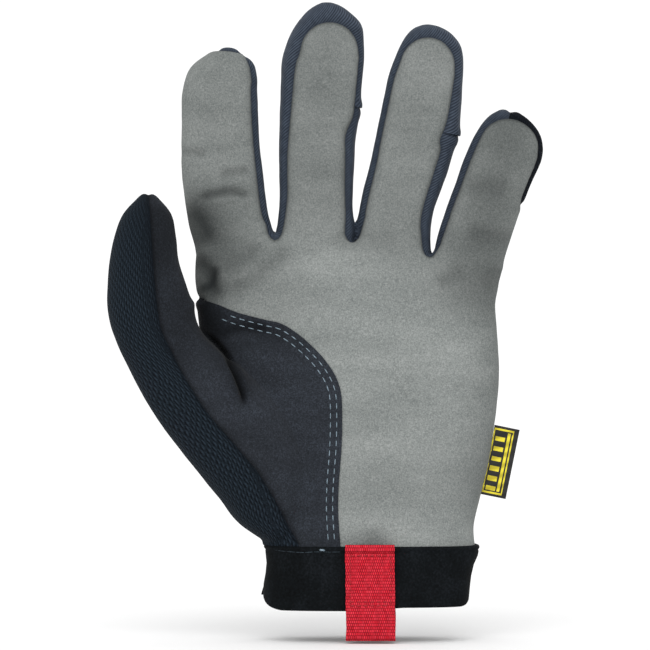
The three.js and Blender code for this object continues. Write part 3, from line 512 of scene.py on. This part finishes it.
# The cloth dips at a seam and swells a little beside it: height, how far away, and spread.
SEAM_DIP = (-0.75, 0.0, 1.25)
SEAM_SWELL = (0.18, 3.6, 1.6)


def linear(colour):
    """An sRGB hex colour as the linear values that a shader needs."""
    channels = [int(colour[i:i + 2], 16) / 255 for i in (1, 3, 5)]
    return (*[c / 12.92 if c <= 0.04045 else ((c + 0.055) / 1.055) ** 2.4 for c in channels], 1)


def output_of(value):
    """A node's first output, and any other value as it is."""
    return value.outputs[0] if isinstance(value, bpy.types.Node) else value


def add_node(material, kind, inputs=(), stops=(), **settings):
    """Adds a node with its settings, a ramp's stops, and its inputs as values, outputs or other nodes."""
    node = material.node_tree.nodes.new("ShaderNode" + kind)
    for name, value in settings.items():
        setattr(node, name, value)
    for i, (place, colour) in enumerate(stops):
        element = node.color_ramp.elements[i] if i < 2 else node.color_ramp.elements.new(place)
        element.position, element.color = place, linear(colour)
    for name, value in dict(inputs).items():
        value = output_of(value)
        if isinstance(value, bpy.types.NodeSocket):
            material.node_tree.links.new(value, node.inputs[name])
        else:
            node.inputs[name].default_value = value
    return node


def new_material(name, roughness, specular, sheen=0.0):
    """A material whose shader holds the even values that the finish has all over."""
    material = bpy.data.materials.new(name)
    material.use_nodes = True
    shader = material.node_tree.nodes["Principled BSDF"]
    shader.inputs["Roughness"].default_value = roughness
    shader.inputs["Specular IOR Level"].default_value = specular
    shader.inputs["Sheen Weight"].default_value = sheen
    shader.inputs["Sheen Roughness"].default_value = 0.5
    return material


def specks(material, place, scale, detail, roughness=0.5):
    """Unevenness of one size over places in the cloth."""
    values = {"Vector": place, "Scale": scale, "Detail": detail, "Roughness": roughness}
    return add_node(material, "TexNoise", values)


def painted_shade_colours(material, colours, dark):
    """Colours with painted shade mixed in, as far as the piece's own attribute gives it: in creases, hollows and
    seam dips.
    """
    painted_shade = add_node(material, "Attribute", attribute_name="painted_shade").outputs["Fac"]
    return add_node(material, "Mix", {0: painted_shade, 6: colours, 7: linear(dark)}, data_type="RGBA").outputs[2]


def dress(material, colour, height=None, strength=0.0, distance=0.0, **settings):
    """Joins a colour to the material's shader, and the relief of a height with its depth in metres."""
    shader = material.node_tree.nodes["Principled BSDF"]
    material.node_tree.links.new(output_of(colour), shader.inputs["Base Color"])
    if height is not None:
        relief = {"Height": height, "Strength": strength, "Distance": distance}
        bump = add_node(material, "Bump", relief, **settings)
        material.node_tree.links.new(bump.outputs[0], shader.inputs["Normal"])
    return material


def suede(name, dark, middle, pale, shade_colour):
    """Synthetic suede: a matt nap of microfibres 0.5 mm long, rubbed along the hand's slant, with fine hairs."""
    material = new_material(name, 0.95, 0.06, sheen=0.03)
    place = add_node(material, "TexCoord").outputs["Object"]
    slanted = {"Vector": place, "Rotation": (0, math.radians(42), 0), "Scale": (0.3, 1, 1)}
    rubbed = specks(material, add_node(material, "Mapping", slanted), 1000 / 13, 3)
    nap = specks(material, place, 1000 / 1.2, 4, roughness=0.75)
    hairs = specks(material, place, 1000 / 0.55, 2, roughness=0.6)
    tone = add_node(material, "Mix", {0: 0.5, 2: rubbed, 3: nap})
    tone = add_node(material, "Mix", {0: 0.5, 2: tone, 3: hairs})
    colours = add_node(material, "ValToRGB", {0: tone}, [(0.36, dark), (0.64, pale), (0.5, middle)])
    height = add_node(material, "Mix", {0: 0.45, 2: nap, 3: hairs})
    return dress(material, painted_shade_colours(material, colours, shade_colour), height, 0.45, 0.0003)


def show(piece, material, node):
    """Gives a finished piece its finish and the body that it rides on, and hides the solid that it stands for."""
    piece.data.materials.append(material)
    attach(piece, "root")
    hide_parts(node)


def sewn_panel(name, surface, threads, free_edges=()):
    """A panel of the skin with turned-in seams. A free edge lies on its neighbour instead: line, rise, reach."""
    ids, local = np.unique(surface, return_inverse=True)
    faces = local.reshape(-1, 3)
    rows = skin[ids].copy()
    normals = rows[:, 3:6] / np.linalg.norm(rows[:, 3:6], axis=1)[:, None]
    edges = np.sort(np.vstack([faces[:, [0, 1]], faces[:, [1, 2]], faces[:, [2, 0]]]), axis=1)
    edges, times = np.unique(edges, axis=0, return_counts=True)
    rim = edges[times == 1]
    samples = np.vstack([rows[rim[:, 0], :3], rows[rim].mean(axis=1)[:, :3]])
    sewn = samples[:, 2] > CUFF_TOP + 1.2
    for line, _, _ in free_edges:
        sewn &= distance_to_line(samples[:, [0, 2]], line)[0] > 1.0
    seam = KDTree(int(sewn.sum()))
    for i, sample in enumerate(samples[sewn]):
        seam.insert(sample, i)
    seam.balance()
    away = np.array([seam.find(row[:3])[2] for row in rows])
    push = sum(height * np.exp(-((away - at) / spread) ** 2) for height, at, spread in (SEAM_DIP, SEAM_SWELL))
    raised = np.zeros(len(rows))
    for line, rise, reach in free_edges:
        near = distance_to_line(rows[:, [0, 2]], line)[0]
        welt = rise * np.exp(-(np.abs(near - 1.3) / reach) ** 2)
        raised = np.maximum(raised, welt * np.clip(away / 1.5, 0, 1))
    points = rows[:, :3] + normals * (push + raised)[:, None]
    # Painted shade in the dip along each turned-in seam, joined to the painted shade of the creases and hollows.
    seam_shade = 0.55 * np.exp(-(away / 0.9) ** 2) + 0.1 * np.exp(-(away / 3.5) ** 2)
    painted_shade = np.clip(1 - (1 - rows[:, 6]) * (1 - seam_shade), 0, 1)
    piece = cloth_mesh(name, points, faces, {"painted_shade": painted_shade, "threads": threads(rows[:, :3])})
    finish_with(piece, "SOLIDIFY", thickness=CLOTH_WALL * 0.001, offset=-1)
    bpy.ops.object.shade_smooth_by_angle(angle=math.radians(50))
    return piece


def flat_threads(points):
    """Thread directions of a panel that lies flat when it is cut, in millimetres."""
    return points[:, [0, 2, 1]]


# The last colour is the painted shade in creases, hollows and seam dips.
grey_suede = suede("grey_microfibre_suede", "#636766", "#7b7f7d", "#929593", "#1d2021")
palm_suede = sewn_panel("palm_suede", palm_faces, flat_threads, free_edges=[(palm_points(CRESCENT), 0.0, 3.0)])
show(palm_suede, grey_suede, "palm_panel")


# ---- Thumb suede
# Charcoal suede over the front and the ball of the thumb. Its free edge, a crescent across the palm, lies on
# the grey suede and is held by two rows of pale lockstitch.
# The last colour is the painted shade in creases, hollows and seam dips.
charcoal_suede = suede("charcoal_microfibre_suede", "#1c1f23", "#26292e", "#353a42", "#050607")
thumb_suede = sewn_panel("thumb_suede", thumb_suede_faces, flat_threads,
                         free_edges=[(palm_points(CRESCENT), 0.55, 30)])
show(thumb_suede, charcoal_suede, "thumb_palm_panel")

STITCH, STITCH_GAP, THREAD = 2.3, 1.35, 0.2
STITCH_ROWS = (2.2, 4.7)


def thread(name, roughness, specular, dark, pale):
    """Polyester thread, with plies 0.5 mm apart that catch the light in turn."""
    material = new_material(name, roughness, specular)
    plies = specks(material, add_node(material, "TexCoord").outputs["Object"], 1000 / 0.5, 2)
    return dress(material, add_node(material, "ValToRGB", {0: plies}, [(0.35, dark), (0.65, pale)]))


def surface_of(piece):
    """A finder of the piece's surface, in metres."""
    return BVHTree.FromPolygons([v.co for v in piece.data.vertices], [p.vertices for p in piece.data.polygons])


def capsule(start, end, radius, points, faces, sides=6):
    """Adds one short closed length of thread, thinner at both ends."""
    start, end = np.asarray(start, float), np.asarray(end, float)
    along = (end - start) / np.linalg.norm(end - start)
    beside = np.cross(along, (0.0, 1.0, 0.0))
    beside /= np.linalg.norm(beside)
    over = np.cross(beside, along)
    turn = np.arange(sides) * 2 * math.pi / sides
    first = len(points)
    stations = ((0.0, 0.45, 0.5), (0.16, 0.95, 0.1), (0.5, 1.0, 0.0), (0.84, 0.95, 0.1), (1.0, 0.45, 0.5))
    for share, thick, sunk in stations:
        middle = start + (end - start) * share + over * sunk * radius * np.sign(over[1] or 1)
        points.extend(middle + radius * thick * (np.cos(a) * beside + np.sin(a) * over) for a in turn)
    for r in range(4):
        for i in range(sides):
            a, b = first + r * sides + i, first + r * sides + (i + 1) % sides
            faces.append((a, b, b + sides, a + sides))
    faces.append(tuple(first + i for i in range(sides))[::-1])
    faces.append(tuple(first + 4 * sides + i for i in range(sides)))


def even_points(line, step):
    """Places along a line of points, one step apart."""
    line = np.asarray(line, float)
    reached = lengths_along(line)
    at = np.arange(0, reached[-1], step)
    return np.column_stack([np.interp(at, reached, line[:, k]) for k in (0, 1)])


def stitch_row(line, finder, points, faces, stitch=STITCH, gap=STITCH_GAP, radius=THREAD):
    """Lays stitches over a surface along a line that is seen from the front."""
    step = 0.1
    fine = even_points(line, step)
    length = int(round(stitch / step))
    for i in range(0, len(fine) - length, length + int(round(gap / step))):
        ends = []
        for x, z in (fine[i], fine[i + length]):
            hit = finder.ray_cast(Vector((x * 0.001, -0.09, z * 0.001)), Vector((0, 1, 0)))[0]
            if hit is not None:
                ends.append(np.array(hit) * 1000 + (0, -0.12 * radius, 0))
        if len(ends) == 2 and abs(ends[0][1] - ends[1][1]) < stitch:
            capsule(*ends, radius, points, faces)


def smooth_thread(piece):
    """Finishes the lengths of thread of some stitches."""
    finish_with(piece, "TRIANGULATE")
    bpy.ops.object.shade_smooth_by_angle(angle=math.radians(60))


def beside_line(line, distance):
    """A line moved to its left by some millimetres."""
    line = np.asarray(line, float)
    step = np.gradient(line, axis=0)
    step /= np.linalg.norm(step, axis=1)[:, None]
    return line + distance * np.column_stack([-step[:, 1], step[:, 0]])


points, faces = [], []
crescent = np.array(palm_points(CRESCENT))
crescent = crescent[(crescent[:, 1] > CUFF_TOP + 1.5) & (crescent[:, 0] > -57.5)]
for distance in STITCH_ROWS:
    stitch_row(beside_line(crescent, distance), surface_of(thumb_suede), points, faces)
crescent_stitches = cloth_mesh("crescent_stitches", points, faces)
smooth_thread(crescent_stitches)
pale_thread = thread("pale_polyester_thread", 0.55, 0.35, "#56666f", "#82929e")
crescent_stitches.data.materials.append(pale_thread)
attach(crescent_stitches, "root")


# ---- Thumb knit
# Dark stretch knit over the back of the thumb, down to the cuff. Its ribs run up the thumb and break into
# short wales about 1 mm apart, as in a crimped pique.
def around_thumb(points):
    """Thread directions round and along the thumb, in millimetres."""
    table = smooth_rows(THUMB["rows"], 4)
    up = (points[:, 2] - CUFF_TOP) / THUMB["height"]
    left, right, fore = (np.interp(up, table[:, 0], table[:, k]) for k in (1, 2, 4))
    x = points[:, 0] - THUMB["base"] + (left + right) / 2 * THUMB["reach"]
    y = points[:, 1] + fore * THUMB["depth"]
    return np.column_stack([np.arctan2(-x, y) * 16, points[:, 2] * 1.12, np.zeros(len(points))])


def reckon(material, operation, *values):
    """Adds a node that reckons with values, outputs or other nodes."""
    return add_node(material, "Math", dict(enumerate(values)), operation=operation)


def knit(name, dark, middle, pale, wale=1.1, course=3.6):
    """Polyester crimp knit: matt upright wales, each broken by courses that start at a height of its own."""
    material = new_material(name, 0.88, 0.06, sheen=0.01)
    threads = add_node(material, "Attribute", attribute_name="threads").outputs["Vector"]
    apart = add_node(material, "SeparateXYZ", {0: threads})
    sway = reckon(material, "MULTIPLY", specks(material, threads, 0.16, 2), 2.2)
    counted = reckon(material, "DIVIDE", reckon(material, "ADD", apart.outputs[0], sway), wale)
    ribs = reckon(material, "SINE", reckon(material, "MULTIPLY", counted, 2 * math.pi))
    stagger = reckon(material, "MULTIPLY", reckon(material, "FLOOR", counted), 2.4)
    steps = reckon(material, "MULTIPLY_ADD", apart.outputs[1], 2 * math.pi / course, stagger)
    relief = reckon(material, "MULTIPLY_ADD", reckon(material, "SINE", steps), 0.8, ribs)
    fuzzed = reckon(material, "MULTIPLY_ADD", specks(material, threads, 1.4, 4), 4.0, relief)
    level = add_node(material, "MapRange", {0: fuzzed, 1: 0, 2: 4, 3: 0, 4: 1})
    colours = add_node(material, "ValToRGB", {0: level}, [(0.15, dark), (0.9, pale), (0.5, middle)])
    # Its darkest colour is also the painted shade in creases and seam dips.
    return dress(material, painted_shade_colours(material, colours, dark), level, 0.5, 0.0004)


thumb_knit = sewn_panel("thumb_knit", thumb_knit_faces, around_thumb)
show(thumb_knit, knit("navy_crimp_knit", "#0a0e13", "#141b21", "#242d36"), "thumb_back_panel")


# ---- Back cloth
# The same dark knit in a finer gauge, in one piece over the back of the hand and the fingers.
back_cloth = sewn_panel("back_cloth", back_faces, flat_threads)
fine_knit = knit("navy_fine_knit", "#090c10", "#10141a", "#191e26", wale=0.9, course=1.6)
show(back_cloth, fine_knit, "back_panel")


# ---- Strips between the fingers
# Slate twill strips about 17 mm wide. Each runs up one side of a finger, over its tip, down the other side and
# round the crotch to the next finger. A strip's end is hemmed and sewn over the start of the next one.
def around_fingers(points):
    """Thread directions round and along the nearest finger, in millimetres."""
    best = np.full(len(points), 1e9)
    threads = np.zeros((len(points), 3))
    for finger in FINGERS:
        lean = math.radians(finger["lean"])
        x, z = points[:, 0] - finger["x"], points[:, 2] - finger["z"]
        right, up = x * math.cos(lean) - z * math.sin(lean), x * math.sin(lean) + z * math.cos(lean)
        distance = np.hypot(right, np.minimum(up, 0))
        near = distance < best
        best[near] = distance[near]
        threads[near, 0] = (np.arctan2(right, -points[:, 1]) * finger["width"] / 2)[near]
        threads[near, 1] = up[near]
    return threads


def twill(name, dark, middle, pale, rib=1.0):
    """Polyester twill: fine slanted ribs of filament yarn with a slight shine, drawn at 1 mm so that they show."""
    material = new_material(name, 0.7, 0.12, sheen=0.02)
    threads = add_node(material, "Attribute", attribute_name="threads").outputs["Vector"]
    slant = add_node(material, "VectorMath", {0: threads, 1: (0.62, -0.78, 0)}, operation="DOT_PRODUCT")
    ribs = reckon(material, "SINE", reckon(material, "MULTIPLY", slant.outputs["Value"], 2 * math.pi / rib))
    level = reckon(material, "MULTIPLY_ADD", specks(material, threads, 0.35, 4), 2.2, ribs)
    level = add_node(material, "MapRange", {0: level, 1: -0.1, 2: 2.4, 3: 0, 4: 1})
    colours = add_node(material, "ValToRGB", {0: level}, [(0.1, dark), (0.9, pale), (0.5, middle)])
    # Its darkest colour is also the painted shade in creases and seam dips.
    return dress(material, painted_shade_colours(material, colours, dark), ribs, 0.35, 0.0002)


slate_twill = twill("slate_polyester_twill", "#20262f", "#353d4a", "#48525f")
strips = (
    ("strip_index", index_strip_faces, "strip_index_middle", middle_line, 0.0035),
    ("strip_middle", middle_strip_faces, "strip_middle_ring", ring_line, 0.0030),
    ("strip_ring", ring_strip_faces, "strip_ring_little", None, 0.0017),
)
for name, surface, node, end, area in strips:
    hem = [(end[1:], 0.32, 1.8)] if end is not None else []
    strip = sewn_panel(name, surface, around_fingers, free_edges=hem)
    show(strip, slate_twill, node)


# ---- Wrist band
# Black neoprene 2.4 mm thick, faced with fine jersey on both sides, sewn round the foot of the panels. Its lower
# corners are rounded, and a slate thread with one pale knot runs along its top seam on the thumb's side.
CUFF = {"width": 84, "half_deep": 21.5, "wall": 2.4, "round": 3}
# Columns: up, and the left and right edges as shares of the width.
CUFF["rows"] = [
    (0, -0.503, 0.482), (0.35, -0.496, 0.486), (0.64, -0.481, 0.499), (0.85, -0.487, 0.526), (1, -0.497, 0.533),
]
# The lower corners on the left and the right, each wide and high.
CORNERS = ((8, 5), (3, 2.6))
cuff_table = smooth_rows(CUFF["rows"], 6)


def on_cuff(turn, height, outset):
    """Points on the band's outer face at some heights, moved out by some millimetres."""
    up = height / CUFF_TOP
    left, right = (np.interp(up, cuff_table[:, 0], cuff_table[:, k]) * CUFF["width"] for k in (1, 2))
    c, s = np.cos(turn), np.sin(turn)
    x = (left + right) / 2 + np.sign(c) * np.abs(c) ** (2 / CUFF["round"]) * ((right - left) / 2 + outset)
    y = np.sign(s) * np.abs(s) ** (2 / CUFF["round"]) * (CUFF["half_deep"] + outset)
    return np.column_stack([x, y, height])


def tube_faces(rings, sides):
    """Faces over rings of points, from each to the next and from the last to the first."""
    faces = []
    for r in range(rings):
        for i in range(sides):
            a, b = r * sides + i, r * sides + (i + 1) % sides
            c, d = ((r + 1) % rings) * sides + (i + 1) % sides, ((r + 1) % rings) * sides + i
            faces.append((a, b, c, d))
    return faces


def jersey(name, dark, middle, pale):
    """Jersey-faced neoprene: soft, black and matt, with a very fine stitch grain and a little lint."""
    material = new_material(name, 0.85, 0.05)
    place = add_node(material, "TexCoord").outputs["Object"]
    grain = specks(material, place, 1000 / 0.9, 3)
    worn = specks(material, place, 1000 / 11, 2)
    tone = add_node(material, "Mix", {0: 0.4, 2: grain, 3: worn})
    colours = add_node(material, "ValToRGB", {0: tone}, [(0.3, dark), (0.75, pale), (0.5, middle)])
    return dress(material, colours, grain, 0.3, 0.0002)


BAND_SIDES = 200
around = np.arange(BAND_SIDES) * 2 * math.pi / BAND_SIDES
level_face = on_cuff(around, np.zeros(BAND_SIDES), 0)
low_left, low_right = level_face[:, 0].min(), level_face[:, 0].max()
foot = -1.3 * np.clip((14 - level_face[:, 0]) / 18, 0, 1)
for (wide, high), past in zip(CORNERS, (low_left - level_face[:, 0], level_face[:, 0] - low_right)):
    foot += high * (1 - np.sqrt(1 - np.clip(1 + past / wide, 0, 1) ** 2))
# The band's section, up its outer face and down its inner one: outset in millimetres and share of the height.
outer = [(0.0, 0.03), (0.1, 0.1), (0.24, 0.25), (0.3, 0.45), (0.28, 0.65), (0.16, 0.8), (0.0, 0.88),
         (-0.28, 0.915), (0.12, 0.945), (0.1, 0.97), (-0.2, 0.99), (-0.8, 1.0)]
inner = [(-1.6, 1.0), (-2.2, 0.99), (-2.4, 0.96), (-2.4, 0.7), (-2.4, 0.4), (-2.4, 0.04), (-2.2, 0.01),
         (-1.5, 0.0), (-0.8, 0.0), (-0.25, 0.008)]
rings = [on_cuff(around, foot + (CUFF_TOP + 0.3 - foot) * share, outset) for outset, share in outer + inner]
wrist_band = cloth_mesh("wrist_band", np.vstack(rings), tube_faces(len(rings), BAND_SIDES))
outward(wrist_band)
bpy.ops.object.shade_smooth_by_angle(angle=math.radians(60))
black_jersey = jersey("black_jersey_neoprene", "#070809", "#0d1012", "#1a1d21")
show(wrist_band, black_jersey, "cuff")

points, faces = [], []
band_finder = surface_of(wrist_band)
top_seam = [(-39.5, 23.6), (-36.5, 22.6), (-31, 22.2), (-26, 21.9), (-21, 22.3), (-15, 22.2), (-11, 22.3)]
stitch_row(smooth_rows(top_seam, 8), band_finder, points, faces, stitch=3.4, gap=0.2, radius=0.16)
knot_from = len(faces)
stitch_row([(-19.4, 23.1), (-16.9, 22.9)], band_finder, points, faces, stitch=2.2, radius=0.4)
cuff_thread = cloth_mesh("cuff_thread", points, faces)
cuff_thread.data.materials.append(thread("slate_polyester_thread", 0.7, 0.2, "#1c2328", "#333e46"))
cuff_thread.data.materials.append(pale_thread)
for face in cuff_thread.data.polygons[knot_from:]:
    face.material_index = 1
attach(cuff_thread, "root")


# ---- Back strap
# The closure strap, a second band of the same neoprene across the back of the wrist band. It is stitched on at
# the thumb's side, where its corner shows past the band, and has rounded corners at its free end.
STRAP = {"thickness": 2.0, "bottom": 3.4, "top": 20, "slant": 8, "corner": 4}
STRAP_ROWS, STRAP_ACROSS = 90, 13
turns = np.linspace(math.pi - 0.3, 1.03, STRAP_ROWS)
middle_height = (STRAP["bottom"] + STRAP["top"]) / 2
reached = lengths_along(on_cuff(turns, np.full(STRAP_ROWS, middle_height), 1))


def grid_faces(rows, across):
    """Faces over an open sheet of points that were laid row by row."""
    return [(a, a + 1, a + across + 1, a + across)
            for r in range(rows - 1) for a in range(r * across, (r + 1) * across - 1)]


def thicken(piece, thickness, bevel):
    """Gives a flat band its thickness about its middle, in millimetres, with rounded edges."""
    finish_with(piece, "SOLIDIFY", thickness=thickness * 0.001, offset=0)
    finish_with(piece, "BEVEL", width=bevel, segments=3, limit_method="ANGLE", angle_limit=math.radians(50))
    outward(piece)
    bpy.ops.object.shade_smooth()


points = []
for share in np.linspace(0, 1, STRAP_ROWS):
    at = share * reached[-1]
    left_over = reached[-1] - at
    inset = STRAP["corner"] - math.sqrt(max(STRAP["corner"] ** 2 - max(STRAP["corner"] - left_over, 0) ** 2, 0))
    heights = np.linspace(STRAP["bottom"] + inset, STRAP["top"] - inset, STRAP_ACROSS)
    slanted = STRAP["slant"] * (heights - STRAP["bottom"]) / (STRAP["top"] - STRAP["bottom"])
    pulled = at + slanted * (1 - share)
    points.extend(on_cuff(np.interp(pulled, reached, turns), heights, 0.45 + STRAP["thickness"] / 2))
back_strap = cloth_mesh("back_strap", points, grid_faces(STRAP_ROWS, STRAP_ACROSS))
thicken(back_strap, STRAP["thickness"], 0.0005)
show(back_strap, black_jersey, "closure_strap")

points, faces = [], []
strap_finder = surface_of(back_strap)
seam_heights = (STRAP["bottom"] + 1.6, STRAP["top"] - 1.6)
for height in seam_heights:
    row = on_cuff(np.linspace(2.45, 1.1, 150), np.full(150, height), 6)
    for i in range(0, 146, 6):
        ends = []
        for p in (row[i], row[i + 4]):
            hit = strap_finder.find_nearest(Vector(p * 0.001))[0]
            ends.append(np.array(hit) * 1000)
        capsule(*ends, 0.2, points, faces)
strap_stitches = cloth_mesh("strap_stitches", points, faces)
smooth_thread(strap_stitches)
strap_stitches.data.materials.append(black_jersey)
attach(strap_stitches, "root")


# ---- Pull loop
# Red polypropylene webbing 19 mm wide, folded in two below the cuff and box-stitched through it with red thread.
# Its front end is turned under in a short hem at the top.
LOOP = {"width": 19.6, "thickness": 1.3, "middle": 1.0, "top": 25.2, "low": -13.0, "inside": 15}
front_y = -CUFF["half_deep"] - 0.3 - 0.35 - LOOP["thickness"] / 2
inside_y = -CUFF["half_deep"] + CUFF["wall"] + 0.3 + LOOP["thickness"] / 2
fold_y, low = front_y + 1.2, LOOP["low"] + LOOP["thickness"] / 2
# Down the front, round the fold and up inside the band: Y and Z.
path = smooth_rows([
    (front_y, LOOP["top"]), (front_y - 0.1, 18), (front_y, 12), (front_y + 0.1, 5), (front_y - 0.1, -2),
    (front_y, low + 3), (front_y + 0.25, low + 0.9), (fold_y - 0.5, low + 0.1), (fold_y + 0.2, low),
    (fold_y + 0.95, low + 0.8), (fold_y + 1.15, low + 2.6), (inside_y, -2), (inside_y, 5),
    (inside_y, LOOP["inside"]),
], 14)
LOOP_ROWS, LOOP_ACROSS = 170, 29
along = lengths_along(path)
even = np.linspace(0, along[-1], LOOP_ROWS)
path = np.column_stack([np.interp(even, along, path[:, k]) for k in (0, 1)])
points, threads = [], []
for (y, z), at in zip(path, even):
    hem = 0.55 / (1 + math.exp(-6 * (z - 22.4))) if y < front_y + 1 and at < 12 else 0
    hem -= 0.35 * math.exp(-((z - 22.2) / 0.35) ** 2) if at < 12 else 0
    sideways = 0.45 * (1 - at / 38) if at < 38 else 0
    for u in np.linspace(-0.5, 0.5, LOOP_ACROSS):
        bulge = 0.18 * noise.noise(Vector((u * 3, at / 9, 4.2)))
        edge = 0.25 * noise.noise(Vector((at / 5, 2 * np.sign(u), 1.7))) * abs(2 * u) ** 6
        points.append((LOOP["middle"] - sideways + u * LOOP["width"] + edge, y - hem + bulge, z))
        threads.append((u * LOOP["width"], at, 0))
pull_webbing = cloth_mesh("pull_webbing", points, grid_faces(LOOP_ROWS, LOOP_ACROSS), {"threads": threads})
thicken(pull_webbing, LOOP["thickness"], 0.00035)

red_webbing = new_material("red_polypropylene_webbing", 0.6, 0.1)
woven = add_node(red_webbing, "Attribute", attribute_name="threads").outputs["Vector"]
weave = add_node(red_webbing, "TexBrick", {
    "Vector": woven, "Color1": linear("#e63748"), "Color2": linear("#d32032"), "Mortar": linear("#8c0916"),
    "Scale": 1.0, "Mortar Size": 0.2, "Mortar Smooth": 1.0, "Brick Width": 0.85, "Row Height": 1.2})
uneven = specks(red_webbing, woven, 0.5, 4)
shade = add_node(red_webbing, "ValToRGB", {0: uneven}, [(0.3, "#d2d2d2"), (0.7, "#ffffff")])
tinted = add_node(red_webbing, "Mix", {0: 1.0, 6: weave.outputs["Color"], 7: shade}, data_type="RGBA",
                  blend_type="MULTIPLY")
dress(red_webbing, tinted.outputs[2], weave.outputs["Fac"], 0.8, 0.0003, invert=True)
show(pull_webbing, red_webbing, "pull_loop")

points, faces = [], []
loop_finder = surface_of(pull_webbing)
left, right = LOOP["middle"] - 8.3, LOOP["middle"] + 7.9
for row in ([(left, 21.6), (left + 0.1, 1.2)], [(right, 21.6), (right, 1.2)], [(left, 20.9), (right, 21)],
            [(left, 1), (right, 1.1)], [(left, 2.6), (right, 2.6)]):
    stitch_row(row, loop_finder, points, faces, stitch=1.9, gap=0.7, radius=0.3)
loop_stitches = cloth_mesh("loop_stitches", points, faces)
smooth_thread(loop_stitches)
loop_stitches.data.materials.append(thread("red_polyester_thread", 0.5, 0.3, "#800b18", "#ab1425"))
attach(loop_stitches, "root")


# ---- Side label
# A woven damask tab, black with a yellow frame and bars, folded in two with both ends sewn into the side seam.
LABEL = {"right": 5.5, "half_long": 14.2, "thickness": 1.0, "tilt": math.radians(11.5),
         "x": 52.9, "y": 2.0, "z": 57.4}
palm_table = smooth_rows(PALM["rows"], 4)
LONG, WIDE = 112, 52
points, faces, print_faces = [], [], []


def label_place(beside, along):
    """A point of the tab's middle sheet from its own two directions, as X and Z."""
    c, s = math.cos(LABEL["tilt"]), math.sin(LABEL["tilt"])
    return LABEL["x"] + beside * c + along * s, LABEL["z"] - beside * s + along * c


def printed(beside, along):
    """Whether a place on the tab is woven in yellow: a frame, a long bar and a row of short ones."""
    inside_right, inside_end = 3.6 - beside, 13.1 - abs(along)
    inside_left = beside + 4.6
    depth = min(inside_right, inside_end, inside_left)
    if 0 < depth < 0.55:
        return True
    if depth < 1.2:
        return False
    if beside > 1.25:
        return True
    return beside < 0.5 and (along + 12) % 4.0 < 1.9


for side in (1, -1):
    for r in range(LONG + 1):
        along_label = -LABEL["half_long"] + 2 * LABEL["half_long"] * r / LONG
        start = -LABEL["right"] - 1
        for _ in range(4):
            x, z = label_place(start, along_label)
            edge = np.interp((z - CUFF_TOP) / PALM["height"], palm_table[:, 0], palm_table[:, 2])
            start += PALM["middle"] + edge * PALM["width"] + 0.1 - x
        for i in range(WIDE + 1):
            beside = start + (LABEL["right"] - start) * i / WIDE
            x, z = label_place(beside, along_label)
            into_fold = max(beside - LABEL["right"] + 0.7, 0) ** 2 / 0.49
            apart = LABEL["thickness"] / 2 * math.sqrt(max(1 - into_fold, 0))
            wave = 0.12 * math.sin(along_label / 4.5)
            points.append((x, LABEL["y"] - side * apart + wave, z))
across = WIDE + 1
back_start = (LONG + 1) * across
c, s = math.cos(LABEL["tilt"]), math.sin(LABEL["tilt"])
for side in (0, 1):
    for corner in grid_faces(LONG + 1, across):
        face = tuple(k + side * back_start for k in corner)
        faces.append(face[::-1] if side else face)
        x, z = np.mean([points[k] for k in face], axis=0)[[0, 2]] - (LABEL["x"], LABEL["z"])
        print_faces.append(int(printed(x * c - z * s, x * s + z * c)))
for r in range(LONG):
    a, b = r * across, (r + 1) * across
    faces.append((a, b, b + back_start, a + back_start))
for i in range(WIDE):
    a, b = i, i + 1
    faces.append((a, a + back_start, b + back_start, b))
    a, b = LONG * across + i, LONG * across + i + 1
    faces.append((a, b, b + back_start, a + back_start))
tab_label = cloth_mesh("tab_label", points, faces)
for i, value in enumerate(print_faces):
    tab_label.data.polygons[i].material_index = value
outward(tab_label, join=0.00002)
bpy.ops.object.shade_smooth_by_angle(angle=math.radians(50))


def damask(name, dark, pale):
    """Woven damask: flat satin yarns 0.4 mm apart, with a slight shine."""
    material = new_material(name, 0.5, 0.35)
    place = add_node(material, "TexCoord").outputs["Object"]
    turned = add_node(material, "Mapping", {"Vector": place, "Rotation": (0, LABEL["tilt"], 0)})
    picks = add_node(material, "TexWave", {"Vector": turned, "Scale": 1000 / 20 * 2 * math.pi / 4.0,
                     "Distortion": 1.2, "Detail": 2, "Detail Scale": 6}, bands_direction="Z")
    shades = add_node(material, "ValToRGB", {0: picks}, [(0.1, dark), (0.9, pale)])
    return dress(material, shades, picks, 0.3, 0.0001)


show(tab_label, damask("black_damask", "#0c0c0c", "#1c1c1a"), "side_label")
tab_label.data.materials.append(damask("yellow_damask", "#b8a81c", "#e2d230"))


# ---- Floor and lights
# A plain pale floor just under the loop, an even white surround, and one soft light from the front and above.
bpy.ops.object.select_all(action="DESELECT")
bpy.ops.mesh.primitive_plane_add(size=60, location=(0, 20, -0.0142))
floor = bpy.context.active_object
floor.name = "floor"
white_card = new_material("white_card", 0.9, 0.1)
white_card.node_tree.nodes["Principled BSDF"].inputs["Base Color"].default_value = (0.8, 0.8, 0.8, 1)
floor.data.materials.append(white_card)

sun = bpy.data.lights.new("front_light", "SUN")
sun.energy, sun.angle = 1.5, math.radians(40)
lamp = bpy.data.objects.new("front_light", sun)
lamp.rotation_euler = (math.radians(48), 0, math.radians(-3))
bpy.context.collection.objects.link(lamp)
surround = bpy.data.worlds.new("surround")
surround.use_nodes = True
surround.node_tree.nodes["Background"].inputs["Color"].default_value = (1, 1, 1, 1)
surround.node_tree.nodes["Background"].inputs["Strength"].default_value = 1.08
bpy.context.scene.world = surround
bpy.context.scene.view_settings.view_transform = "Standard"
